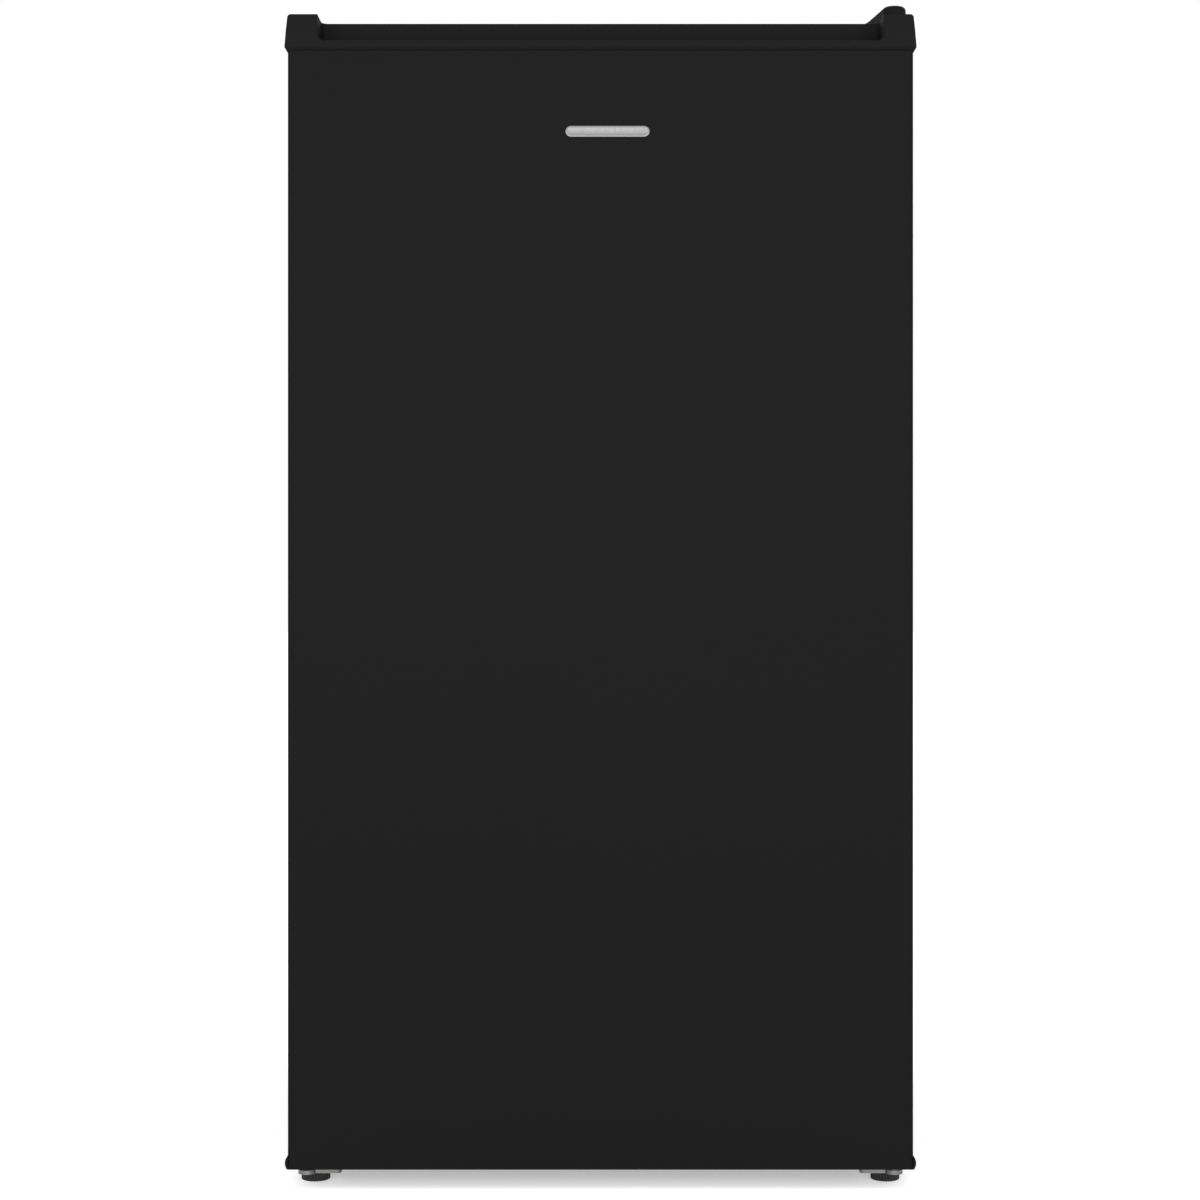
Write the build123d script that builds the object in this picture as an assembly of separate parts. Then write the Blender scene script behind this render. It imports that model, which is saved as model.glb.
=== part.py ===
from build123d import *
import math
import os

# Free-standing mini fridge with a right-hung door.
# Millimetres. +Z is up, the door faces -Y, and +X is to the right of someone facing the door.
# The origin is on the floor, at the centre of the fridge's footprint.

# ---------------------------------------------------------------- driving dimensions

BODY_WIDTH = 445.0
OVERALL_DEPTH = 480.0
OVERALL_HEIGHT = 845.0
CAP_FLARE = 2.0  # how far the door's caps stand proud of the door panel, at each side
DOOR_TOP_Z = 835.5
DOOR_BOTTOM_Z = 13.9
DOOR_THICKNESS = 40.0
DOOR_GAP = 10.0  # between the door's back and the cabinet's front, filled by the gasket
CABINET_TOP_Z = 836.0
CABINET_BOTTOM_Z = 10.0
REAR_STANDOFF = 18.0  # between the back panel and the wall behind
WALL = 38.0  # insulated wall, outside to inside
SHEET = 0.7  # steel sheet
LINER = 1.2  # thermoformed plastic sheet
LINER_CORNER = 9.0

HALF_BODY = BODY_WIDTH / 2
HALF_DEPTH = OVERALL_DEPTH / 2
HALF_FLARE = HALF_BODY + CAP_FLARE

# depths, front to back
CAP_FRONT_Y = -HALF_DEPTH
DOOR_FRONT_Y = CAP_FRONT_Y + CAP_FLARE
DOOR_BACK_Y = DOOR_FRONT_Y + DOOR_THICKNESS
CABINET_FRONT_Y = DOOR_BACK_Y + DOOR_GAP
CABINET_BACK_Y = HALF_DEPTH - REAR_STANDOFF

# the cold space inside the liner
HALF_ROOM = HALF_BODY - WALL
ROOM_FLOOR_Z = 50.0
ROOM_CEILING_Z = 796.0
ROOM_BACK_Y = 185.0
STEP_FRONT_Y = 27.0  # the liner's floor steps up over the compressor bay
STEP_TOP_Z = 225.0
LIP = 5.5  # the liner's front lip, around its mouth

# compressor bay, under the step
BAY_FRONT_Y = 62.0
BAY_ROOF_Z = 190.0

# door hinge axis and levelling feet
PIN_X = 211.0
PIN_Y = -218.0
PIN_RADIUS = 3.5
RUNNING_GAP = 0.05
FOOT_X = 206.0
FOOT_Y = -206.0
FOOT_RADIUS = 10.5
FOOT_HEIGHT = 6.5
STUD_RADIUS = 4.0
BRACKET_THICKNESS = 3.0
PLATE_THICKNESS = 2.5

# shelf ribs on the liner's side walls, by the height of their tops
RIB_TOPS = (232.0, 290.0, 350.0, 430.0, 490.0, 650.0)
RIB_HEIGHT = 5.0
RIB_REACH = 8.0
RIB_FRONT_Y = -110.0
CRISPER_COVER_Z = 232.0
UPPER_SHELF_Z = 430.0
DRIP_TRAY_Z = 650.0

# door storage
DYKE_INNER_X = 160.0
DYKE_WIDTH = 12.0
DYKE_FRONT_Y = -150.0
DYKE_BOTTOM_Z = 60.0
DYKE_TOP_Z = 640.0
DYKE_ROUND = 14.0
PLUG_FACE_Y = -182.0
PLUG_HALF_X = 180.0
PLUG_BOTTOM_Z = 54.0
PLUG_TOP_Z = 792.0
PLUG_CORNER = 12.0
PLUG_ROUND = 4.0
RACK_HALF_WIDTH = 152.0
RACK_FRONT_Y = -105.0
RACK_BACK_Y = -181.0
RACK_WALL = 2.5
RACK_CORNER = 10.0
LUG_HEIGHT = 20.0
LUG_RISE = 15.0  # from a rack's underside to the bottom of its lugs
LUG_Y = (-168.5, -161.5)
LUG_GAP = 0.3  # between a lug and its slot, at each side
RACKS = {  # rack name: (height of its underside, height of its walls)
    "upper_door_rack": (560.0, 55.0),
    "middle_door_rack": (400.0, 58.0),
    "bottle_rack": (66.0, 105.0),
}


# ---------------------------------------------------------------- helpers


def block(x, y, z):
    """A box that spans each (low, high) pair."""
    sizes = [high - low for low, high in (x, y, z)]
    middles = [(high + low) / 2 for low, high in (x, y, z)]
    return Pos(*middles) * Box(*sizes)


def rod(start, end, radius):
    """A round bar from one point to another."""
    start = Vector(*start)
    end = Vector(*end)
    plane = Plane(origin=(start + end) / 2, z_dir=end - start)
    return plane * Cylinder(radius, (end - start).length)


def tube_along(points, radius, bend):
    """A round tube along straight runs joined by tangent bends."""
    path = FilletPolyline(*points, radius=bend)
    section = Plane(origin=path @ 0, z_dir=path % 0) * Circle(radius)
    return sweep(section, path=path)


def pane(points, low, high, along):
    """A flat outline pushed along an axis: (x, z) points along "y", or (y, z) points along "x"."""
    if along == "y":
        outline = [(a, low, b) for a, b in points]
        push = Vector(0, high - low, 0)
    else:
        outline = [(low, a, b) for a, b in points]
        push = Vector(high - low, 0, 0)
    face = make_face(Polyline(*outline, close=True))
    return extrude(face, amount=push.length, dir=push.normalized())


def upright(sketch, low, high):
    """A plan sketch raised from one height to another."""
    return extrude(Pos(0, 0, low) * sketch, amount=high - low)


def plan(x, y, radius):
    """A rectangle in plan with rounded corners."""
    middle = Pos((x[0] + x[1]) / 2, (y[0] + y[1]) / 2)
    return middle * RectangleRounded(x[1] - x[0], y[1] - y[0], radius)


def group(solids):
    """Separate solids in one node."""
    return Compound(children=[s for solid in solids for s in solid.solids()])


# ---------------------------------------------------------------- cabinet shell

FLANGE_INNER_X = HALF_ROOM + LIP
FLANGE_TOP_Z = ROOM_CEILING_Z + LIP
FLANGE_BOTTOM_Z = ROOM_FLOOR_Z - LIP
TOP_SHEET_Z = CABINET_TOP_Z - SHEET
SKIN_INNER_X = HALF_BODY - SHEET
SKIN_BACK_Y = CABINET_BACK_Y - SHEET
FLANGE_BACK_Y = CABINET_FRONT_Y + SHEET
SHELL_BEND = 2.0


def side_panel(side):
    """A steel side with its front and rear edges folded in."""
    outer = plan((-HALF_BODY, HALF_BODY), (CABINET_FRONT_Y, CABINET_BACK_Y), SHELL_BEND)
    inner = plan((-SKIN_INNER_X, SKIN_INNER_X), (FLANGE_BACK_Y, SKIN_BACK_Y), SHELL_BEND - SHEET)
    ring = upright(outer - inner, CABINET_BOTTOM_Z, TOP_SHEET_Z)
    near = FLANGE_INNER_X * side
    far = (HALF_BODY + 1) * side
    reach = (-HALF_DEPTH, HALF_DEPTH)
    return ring & block((min(near, far), max(near, far)), reach, (0, CABINET_TOP_Z))


def top_panel():
    """The steel top, with a front flange folded down between the sides."""
    sheet = upright(
        plan((-HALF_BODY, HALF_BODY), (CABINET_FRONT_Y, CABINET_BACK_Y), SHELL_BEND),
        TOP_SHEET_Z,
        CABINET_TOP_Z,
    )
    flange = block(
        (-FLANGE_INNER_X, FLANGE_INNER_X),
        (CABINET_FRONT_Y, FLANGE_BACK_Y),
        (FLANGE_TOP_Z, TOP_SHEET_Z),
    )
    return sheet + flange


def bottom_panel():
    """The steel bottom in front of the bay, with a front flange folded up."""
    sheet = block(
        (-SKIN_INNER_X, SKIN_INNER_X),
        (FLANGE_BACK_Y, BAY_FRONT_Y - SHEET),
        (CABINET_BOTTOM_Z, CABINET_BOTTOM_Z + SHEET),
    )
    sheet = chamfer(sheet.edges().filter_by(Axis.Z).sort_by(Axis.Y)[:2], SHELL_BEND)
    flange = block(
        (-FLANGE_INNER_X, FLANGE_INNER_X),
        (CABINET_FRONT_Y, FLANGE_BACK_Y),
        (CABINET_BOTTOM_Z, FLANGE_BOTTOM_Z),
    )
    return sheet + flange


def back_panel():
    """The galvanised sheet that closes the foam's back."""
    return block(
        (-FLANGE_INNER_X, FLANGE_INNER_X),
        (SKIN_BACK_Y, CABINET_BACK_Y),
        (BAY_ROOF_Z + SHEET, TOP_SHEET_Z),
    )


def compressor_bay_plate():
    """The bent steel plate that walls and roofs the compressor bay."""
    wall = block(
        (-SKIN_INNER_X, SKIN_INNER_X),
        (BAY_FRONT_Y - SHEET, BAY_FRONT_Y),
        (CABINET_BOTTOM_Z, BAY_ROOF_Z),
    )
    roof = block(
        (-SKIN_INNER_X, SKIN_INNER_X),
        (BAY_FRONT_Y - SHEET, SKIN_BACK_Y),
        (BAY_ROOF_Z, BAY_ROOF_Z + SHEET),
    )
    roof = chamfer(roof.edges().filter_by(Axis.Z).sort_by(Axis.Y)[-2:], SHELL_BEND)
    return wall + roof - drain_hole() - suction_hole() - capillary_hole()


# ---------------------------------------------------------------- liner, foam and drain

DRAIN_X = -20.0
DRAIN_Y = 165.0
DRAIN_RADIUS = 6.0
DRAIN_BORE = 4.5
DRAIN_NOZZLE_BORE = 1.5
DRAIN_NOZZLE_LENGTH = 6.0
DRAIN_FOOT_Z = 177.0


def drain_hole():
    return rod((DRAIN_X, DRAIN_Y, DRAIN_FOOT_Z), (DRAIN_X, DRAIN_Y, STEP_TOP_Z + 1), DRAIN_RADIUS)


def room(grow):
    """The liner's inside shape, grown outward on all sides but the front."""
    full = block(
        (-HALF_ROOM - grow, HALF_ROOM + grow),
        (CABINET_FRONT_Y, ROOM_BACK_Y + grow),
        (ROOM_FLOOR_Z - grow, ROOM_CEILING_Z + grow),
    )
    step = block(
        (-HALF_BODY, HALF_BODY),
        (STEP_FRONT_Y + grow, HALF_DEPTH),
        (0, STEP_TOP_Z - grow),
    )
    cut = full - step
    depth_edges = [e for e in cut.edges().filter_by(Axis.Y) if e.length > BODY_WIDTH / 2]
    return fillet(depth_edges, LINER_CORNER + grow)


def lip_block():
    """The liner's front lip, before the mouth is cut out of it."""
    return block(
        (-FLANGE_INNER_X, FLANGE_INNER_X),
        (CABINET_FRONT_Y, CABINET_FRONT_Y + LINER),
        (FLANGE_BOTTOM_Z, FLANGE_TOP_Z),
    )


def shelf_ribs(side):
    """The moulded ribs on one side wall that carry the shelves and the drip tray."""
    inner = (HALF_ROOM - RIB_REACH) * side
    outer = (HALF_ROOM + LINER / 2) * side
    reach = (min(inner, outer), max(inner, outer))
    ribs = Part()
    for top in RIB_TOPS:
        ribs += block(reach, (RIB_FRONT_Y, ROOM_BACK_Y + LINER / 2), (top - RIB_HEIGHT, top))
    return ribs


def inner_liner():
    """The white plastic tub: walls, step over the compressor, front lip and shelf ribs."""
    tub = room(LINER) + lip_block() - room(0)
    return tub + shelf_ribs(1) + shelf_ribs(-1) - drain_hole()


def cabinet_foam():
    """The insulation between the steel shell and the liner."""
    fill = block(
        (-SKIN_INNER_X, SKIN_INNER_X),
        (FLANGE_BACK_Y, SKIN_BACK_Y),
        (CABINET_BOTTOM_Z + SHEET, TOP_SHEET_Z),
    )
    bay = block(
        (-HALF_BODY, HALF_BODY),
        (BAY_FRONT_Y - SHEET, HALF_DEPTH),
        (0, BAY_ROOF_Z + SHEET),
    )
    corner_bends = side_panel(1) + side_panel(-1)
    return fill - bay - room(LINER) - lip_block() - corner_bends - drain_hole()


def drain_tube():
    """Carries melt water down to the evaporating tray, through a nozzle that keeps warm air out."""
    top_z = STEP_TOP_Z + 1
    nozzle_top_z = DRAIN_FOOT_Z + DRAIN_NOZZLE_LENGTH
    tube = rod((DRAIN_X, DRAIN_Y, DRAIN_FOOT_Z), (DRAIN_X, DRAIN_Y, STEP_TOP_Z), DRAIN_RADIUS)
    bore = rod((DRAIN_X, DRAIN_Y, nozzle_top_z), (DRAIN_X, DRAIN_Y, top_z), DRAIN_BORE)
    nozzle = rod((DRAIN_X, DRAIN_Y, 0), (DRAIN_X, DRAIN_Y, top_z), DRAIN_NOZZLE_BORE)
    return tube - bore - nozzle


# ---------------------------------------------------------------- top hinge

HINGE_PLATE_TOP_Z = CABINET_TOP_Z + PLATE_THICKNESS
HINGE_NOSE_RADIUS = 6.5
TOP_PIN_FOOT_Z = 820.0
HINGE_SCREWS = ((201.0, -164.0), (201.0, -148.0), (213.0, -156.0))
SCREW_SHANK = 2.0
SCREW_HEAD = 3.8
SCREW_HEAD_HEIGHT = 2.4
COVER_NOSE_RADIUS = 8.5
COVER_WALL = 1.6
COVER_BACK_Y = -136.0
COVER_ROUND = 3.0


def hinge_outline(nose_radius, inset):
    """The plan of the top hinge: a round nose at the pin that widens towards the back."""
    nose = Pos(PIN_X, PIN_Y) * Circle(nose_radius)
    right_x = PIN_X + nose_radius
    left_x = PIN_X - nose_radius
    arm = make_face(
        Polyline(
            (right_x, PIN_Y),
            (right_x, COVER_BACK_Y - inset),
            (188.0 + inset, COVER_BACK_Y - inset),
            (190.0 + inset, -160.0),
            (196.0 + inset, -178.0),
            (left_x, PIN_Y),
            close=True,
        )
    )
    return nose + arm


def top_pin_hole():
    return rod((PIN_X, PIN_Y, TOP_PIN_FOOT_Z), (PIN_X, PIN_Y, HINGE_PLATE_TOP_Z), PIN_RADIUS)


def hinge_screw(place):
    """A pan-head screw through the hinge plate into the cabinet's top."""
    x, y = place
    head = rod((x, y, HINGE_PLATE_TOP_Z), (x, y, HINGE_PLATE_TOP_Z + SCREW_HEAD_HEIGHT), SCREW_HEAD)
    shank = rod((x, y, CABINET_TOP_Z), (x, y, HINGE_PLATE_TOP_Z), SCREW_SHANK)
    rim = head.faces().sort_by(Axis.Z)[-1].edges()
    return fillet(rim, SCREW_HEAD_HEIGHT / 3) + shank


def top_hinge_plate():
    outline = hinge_outline(HINGE_NOSE_RADIUS, 3.0)
    plate = upright(outline, CABINET_TOP_Z, HINGE_PLATE_TOP_Z) - top_pin_hole()
    for x, y in HINGE_SCREWS:
        plate -= rod((x, y, CABINET_TOP_Z), (x, y, HINGE_PLATE_TOP_Z), SCREW_SHANK)
    return plate


def top_hinge_cover():
    """The moulded cap over the hinge plate, open underneath."""
    outside = upright(hinge_outline(COVER_NOSE_RADIUS, 0), CABINET_TOP_Z, OVERALL_HEIGHT)
    crown = outside.faces().sort_by(Axis.Z)[-1].edges()
    outside = fillet(crown, COVER_ROUND)
    inside = hinge_outline(COVER_NOSE_RADIUS - COVER_WALL, COVER_WALL)
    return outside - upright(inside, CABINET_TOP_Z, OVERALL_HEIGHT - COVER_WALL)


def spare_hinge_plugs():
    """Domed plugs in the screw holes of the unused left-hand hinge."""
    radius = 4.5
    height = 2.0
    crown = 1.2
    plugs = []
    for x, y in HINGE_SCREWS:
        plug = rod((-x, y, CABINET_TOP_Z), (-x, y, CABINET_TOP_Z + height), radius)
        plugs.append(fillet(plug.faces().sort_by(Axis.Z)[-1].edges(), crown))
    return group(plugs)


# ---------------------------------------------------------------- bottom brackets and feet

BRACKET_TOP_Z = CABINET_BOTTOM_Z
BRACKET_BOTTOM_Z = BRACKET_TOP_Z - BRACKET_THICKNESS
BRACKET_NOSE_RADIUS = 6.3
BRACKET_INNER_X = 186.6
BRACKET_OUTER_X = PIN_X + BRACKET_NOSE_RADIUS
BRACKET_FRONT_Y = -219.0
BRACKET_BACK_Y = -140.0
BRACKET_SCREWS = ((195.0, -172.0), (195.0, -152.0))
TAPPED_COLLAR_RADIUS = 6.0
TAPPED_COLLAR_HEIGHT = 2.4
SHOULDER_RADIUS = 5.2
SHOULDER_TOP_Z = DOOR_BOTTOM_Z - 0.3
BOTTOM_PIN_TOP_Z = 30.0


def foot_bracket(side):
    """A steel plate under the cabinet that carries a foot and, at its nose, the hinge pin."""
    nose = Pos(PIN_X, PIN_Y) * Circle(BRACKET_NOSE_RADIUS)
    arm = plan((BRACKET_INNER_X, BRACKET_OUTER_X), (BRACKET_FRONT_Y, BRACKET_BACK_Y), 3.0)
    plate = upright(nose + arm, BRACKET_BOTTOM_Z, BRACKET_TOP_Z)
    collar_top = BRACKET_TOP_Z + TAPPED_COLLAR_HEIGHT
    plate += rod((FOOT_X, FOOT_Y, BRACKET_TOP_Z), (FOOT_X, FOOT_Y, collar_top), TAPPED_COLLAR_RADIUS)
    bore = STUD_RADIUS + RUNNING_GAP
    plate -= rod((FOOT_X, FOOT_Y, 0), (FOOT_X, FOOT_Y, collar_top + 1), bore)
    for x, y in BRACKET_SCREWS:
        plate -= rod((x, y, BRACKET_BOTTOM_Z), (x, y, BRACKET_TOP_Z), SCREW_SHANK)
    if side > 0:
        plate -= rod((PIN_X, PIN_Y, BRACKET_BOTTOM_Z), (PIN_X, PIN_Y, BRACKET_TOP_Z), PIN_RADIUS)
        return plate
    return mirror(plate, about=Plane.YZ)


def bottom_hinge_pin():
    """A shouldered pin riveted into the right-hand bracket."""
    pin = rod((PIN_X, PIN_Y, BRACKET_BOTTOM_Z), (PIN_X, PIN_Y, BOTTOM_PIN_TOP_Z), PIN_RADIUS)
    shoulder = rod((PIN_X, PIN_Y, BRACKET_TOP_Z), (PIN_X, PIN_Y, SHOULDER_TOP_Z), SHOULDER_RADIUS)
    tip = pin.faces().sort_by(Axis.Z)[-1].edges()
    return chamfer(tip, 0.8) + shoulder


def bracket_screws():
    """Pan-head screws up through the brackets into the cabinet's bottom."""
    screws = []
    for x, y in BRACKET_SCREWS:
        for side in (1, -1):
            foot = BRACKET_BOTTOM_Z - SCREW_HEAD_HEIGHT
            head = rod((x * side, y, foot), (x * side, y, BRACKET_BOTTOM_Z), SCREW_HEAD)
            shank = rod((x * side, y, BRACKET_BOTTOM_Z), (x * side, y, BRACKET_TOP_Z), SCREW_SHANK)
            screws.append(head + shank)
    return group(screws)


def front_foot(side):
    """A levelling foot: a ridged plastic disc moulded on a threaded stud."""
    ridges = 28
    groove_radius = 0.75
    disc = rod((0, 0, 0), (0, 0, FOOT_HEIGHT), FOOT_RADIUS)
    stud_top = BRACKET_TOP_Z + TAPPED_COLLAR_HEIGHT + 0.4
    for i in range(ridges):
        turn = 2 * math.pi * i / ridges
        x = FOOT_RADIUS * math.cos(turn)
        y = FOOT_RADIUS * math.sin(turn)
        disc -= rod((x, y, -1), (x, y, FOOT_HEIGHT + 1), groove_radius)
    stud = rod((0, 0, FOOT_HEIGHT), (0, 0, stud_top), STUD_RADIUS)
    return Pos(FOOT_X * side, FOOT_Y, 0) * (disc + stud)


# ---------------------------------------------------------------- door

FLANGE_REACH_X = 210.0  # the door skin's folded back edges end here, where the door liner begins
PANEL_BOTTOM_Z = 15.5
PANEL_TOP_Z = 808.6
DOOR_CORNER = 2.5
CAP_WALL = 2.5
CAP_NECK_Z = 809.8
CAP_WIDEST_Z = 811.6
LIP_TOP_Z = 816.5
POST_SHOULDER_Z = 822.5
TROUGH_HALF_X = 201.3
TROUGH_BACK_Y = -209.0
TROUGH_FLOOR_Z = 790.0
LIP_BACK_Y = -235.5
TROUGH_ROUND = 5.0
TROUGH_CORNER = 5.0
WAIST_ROUND = 4.0
LIP_ROUND = 1.2
BUSH_RADIUS = 6.0
BOSS_RADIUS = 8.2
BUSH_BORE = PIN_RADIUS + RUNNING_GAP
BOTTOM_CAP_TOP_Z = 27.0
EAR_WIDEST_Z = 18.3
EAR_TOP_Z = 23.6


def cap_form(inset):
    """The top cap's outer form: widest near its foot, drawn in towards its top."""
    narrow = HALF_BODY - inset
    wide = HALF_FLARE - inset
    top = DOOR_TOP_Z - inset
    front = DOOR_FRONT_Y + inset
    proud = CAP_FRONT_Y + inset
    back = DOOR_BACK_Y - inset
    right = [(narrow, PANEL_TOP_Z), (wide, CAP_WIDEST_Z), (narrow, top)]
    left = [(-x, z) for x, z in reversed(right)]
    across = pane(right + left, CAP_FRONT_Y - 1, back, "y")
    lengthways = pane(
        [
            (back, PANEL_TOP_Z),
            (front + 0.6, PANEL_TOP_Z),
            (front + 0.6, CAP_NECK_Z),
            (proud, CAP_WIDEST_Z),
            (proud, POST_SHOULDER_Z),
            (front, top),
            (back, top),
        ],
        -HALF_FLARE - 1,
        HALF_FLARE + 1,
        "x",
    )
    return across & lengthways


def door_top_cap():
    """The moulded cap with a finger trough behind its front lip and a post at each end."""
    form = cap_form(0)
    top_edges = [e for e in form.edges() if e.center().Z > DOOR_TOP_Z - 0.01]
    ends = [e for e in top_edges if abs(e.center().X) > HALF_BODY - 1]
    form = fillet(ends, DOOR_CORNER)
    waist = [e for e in form.edges() if abs(e.center().Z - CAP_WIDEST_Z) < 0.01]
    form = fillet([e for e in waist if abs(e.center().X) < 1], WAIST_ROUND)
    pocket_wall = block(
        (-TROUGH_HALF_X - CAP_WALL, TROUGH_HALF_X + CAP_WALL),
        (DOOR_FRONT_Y + SHEET, TROUGH_BACK_Y + CAP_WALL),
        (TROUGH_FLOOR_Z - CAP_WALL, PANEL_TOP_Z),
    )
    inside = cap_form(CAP_WALL)
    keep = block(
        (-TROUGH_HALF_X - CAP_WALL, TROUGH_HALF_X + CAP_WALL),
        (CAP_FRONT_Y - 1, TROUGH_BACK_Y + CAP_WALL),
        (0, OVERALL_HEIGHT),
    )
    cap = form + pocket_wall - (inside - keep)
    for x in (PIN_X, -PIN_X):
        boss = rod((x, PIN_Y, PANEL_TOP_Z), (x, PIN_Y, DOOR_TOP_Z - 1), BOSS_RADIUS)
        cap += boss & form
    over_lip = block(
        (-TROUGH_HALF_X, TROUGH_HALF_X),
        (CAP_FRONT_Y - 10, TROUGH_BACK_Y),
        (LIP_TOP_Z, OVERALL_HEIGHT),
    )
    over_lip = fillet(over_lip.edges().filter_by(Axis.Y).sort_by(Axis.Z)[:2], TROUGH_ROUND)
    over_lip = fillet(over_lip.edges().filter_by(Axis.Z).sort_by(Axis.Y)[-2:], TROUGH_CORNER)
    pocket = block(
        (-TROUGH_HALF_X, TROUGH_HALF_X),
        (LIP_BACK_Y, TROUGH_BACK_Y),
        (TROUGH_FLOOR_Z, LIP_TOP_Z + 2 * TROUGH_ROUND),
    )
    pocket = fillet(pocket.edges().filter_by(Axis.Z), TROUGH_CORNER)
    cap = cap - over_lip - pocket
    long_edges = [e for e in cap.edges().filter_by(Axis.X) if e.length > BODY_WIDTH / 2]
    lip_rim = [e for e in long_edges if abs(e.center().Z - LIP_TOP_Z) < 0.01]
    cap = fillet(lip_rim, LIP_ROUND)
    return cap - rod((PIN_X, PIN_Y, TOP_PIN_FOOT_Z - 2), (PIN_X, PIN_Y, OVERALL_HEIGHT), BUSH_RADIUS)


def door_bottom_cap():
    """The moulded cap under the door, with an ear that wraps each side of the panel."""
    front = DOOR_FRONT_Y + 0.5
    right = ThreePointArc(
        (HALF_BODY + 0.4, front, DOOR_BOTTOM_Z),
        (HALF_FLARE, front, EAR_WIDEST_Z),
        (HALF_BODY, front, EAR_TOP_Z),
    )
    left = mirror(right, about=Plane.YZ)
    outline = [right, Line(right @ 1, left @ 1), left, Line(left @ 0, right @ 0)]
    form = extrude(make_face(outline), amount=DOOR_BACK_Y - front, dir=(0, 1, 0))
    form -= block((-HALF_BODY, HALF_BODY), (-HALF_DEPTH, HALF_DEPTH), (PANEL_BOTTOM_Z, OVERALL_HEIGHT))
    tray = block(
        (-SKIN_INNER_X, SKIN_INNER_X),
        (DOOR_FRONT_Y + SHEET, DOOR_BACK_Y - SHEET - 0.5),
        (PANEL_BOTTOM_Z, BOTTOM_CAP_TOP_Z),
    )
    tray = fillet(tray.edges().filter_by(Axis.Z), DOOR_CORNER - SHEET)
    hollow = block(
        (-SKIN_INNER_X + CAP_WALL, SKIN_INNER_X - CAP_WALL),
        (DOOR_FRONT_Y + SHEET + CAP_WALL, DOOR_BACK_Y - SHEET - CAP_WALL),
        (DOOR_BOTTOM_Z + CAP_WALL, BOTTOM_CAP_TOP_Z),
    )
    boss = rod((PIN_X, PIN_Y, DOOR_BOTTOM_Z + 1), (PIN_X, PIN_Y, BOTTOM_CAP_TOP_Z), BOSS_RADIUS)
    cap = form + tray - hollow + (boss & tray)
    return cap - rod((PIN_X, PIN_Y, 0), (PIN_X, PIN_Y, OVERALL_HEIGHT), BUSH_RADIUS)


def hinge_bushes():
    """Nylon bushes for the two hinge pins, closed at the far end."""
    floor = 2.0
    top = rod((PIN_X, PIN_Y, TOP_PIN_FOOT_Z - 2), (PIN_X, PIN_Y, DOOR_TOP_Z), BUSH_RADIUS)
    top -= rod((PIN_X, PIN_Y, TOP_PIN_FOOT_Z - 0.5), (PIN_X, PIN_Y, OVERALL_HEIGHT), BUSH_BORE)
    end = BOTTOM_PIN_TOP_Z + floor + 0.5
    bottom = rod((PIN_X, PIN_Y, DOOR_BOTTOM_Z), (PIN_X, PIN_Y, end), BUSH_RADIUS)
    bottom -= rod((PIN_X, PIN_Y, 0), (PIN_X, PIN_Y, end - floor), BUSH_BORE)
    return group([top, bottom])


def door_panel():
    """The painted steel skin: a flat front with both sides folded back and in."""
    outer = plan((-HALF_BODY, HALF_BODY), (DOOR_FRONT_Y, DOOR_BACK_Y), DOOR_CORNER)
    inner_y = (DOOR_FRONT_Y + SHEET, DOOR_BACK_Y - SHEET)
    inner = plan((-SKIN_INNER_X, SKIN_INNER_X), inner_y, DOOR_CORNER - SHEET)
    skin = upright(outer - inner, PANEL_BOTTOM_Z, PANEL_TOP_Z)
    mouth = block(
        (-FLANGE_REACH_X, FLANGE_REACH_X),
        (DOOR_BACK_Y - 2 * SHEET, DOOR_BACK_Y + 1),
        (0, OVERALL_HEIGHT),
    )
    return skin - mouth


def dyke(side, inset):
    """One of the two rails moulded on the door liner that the racks hang between."""
    inner = (DYKE_INNER_X + inset) * side
    outer = (DYKE_INNER_X + DYKE_WIDTH - inset) * side
    rail = block(
        (min(inner, outer), max(inner, outer)),
        (PLUG_FACE_Y - 3, DYKE_FRONT_Y - inset),
        (DYKE_BOTTOM_Z + inset, DYKE_TOP_Z - inset),
    )
    return fillet(rail.edges().filter_by(Axis.X).sort_by(Axis.Y)[-2:], DYKE_ROUND - inset)


def plug_form(inset):
    """The raised middle of the door liner, with its two rails."""
    half = PLUG_HALF_X - inset
    plug = block(
        (-half, half),
        (DOOR_BACK_Y - 1, PLUG_FACE_Y - inset),
        (PLUG_BOTTOM_Z + inset, PLUG_TOP_Z - inset),
    )
    plug = fillet(plug.edges().filter_by(Axis.Y), PLUG_CORNER - inset)
    plug = fillet(plug.faces().sort_by(Axis.Y)[-1].edges(), PLUG_ROUND - inset)
    return plug + dyke(1, inset) + dyke(-1, inset)


def rack_lugs(side):
    """The lugs on one rail that carry the door racks."""
    reach = 7.0
    inner = (DYKE_INNER_X - reach) * side
    outer = (DYKE_INNER_X + LINER / 2) * side
    lugs = Part()
    for underside, _ in RACKS.values():
        foot = underside + LUG_RISE
        lugs += block((min(inner, outer), max(inner, outer)), LUG_Y, (foot, foot + LUG_HEIGHT))
    return lugs


def door_liner():
    """The white plastic inside of the door: a flat border, a raised plug, rails and lugs."""
    border = block(
        (-FLANGE_REACH_X, FLANGE_REACH_X),
        (DOOR_BACK_Y - 1, DOOR_BACK_Y),
        (BOTTOM_CAP_TOP_Z, PANEL_TOP_Z),
    )
    return border + plug_form(0) - plug_form(LINER) + rack_lugs(1) + rack_lugs(-1)


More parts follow.
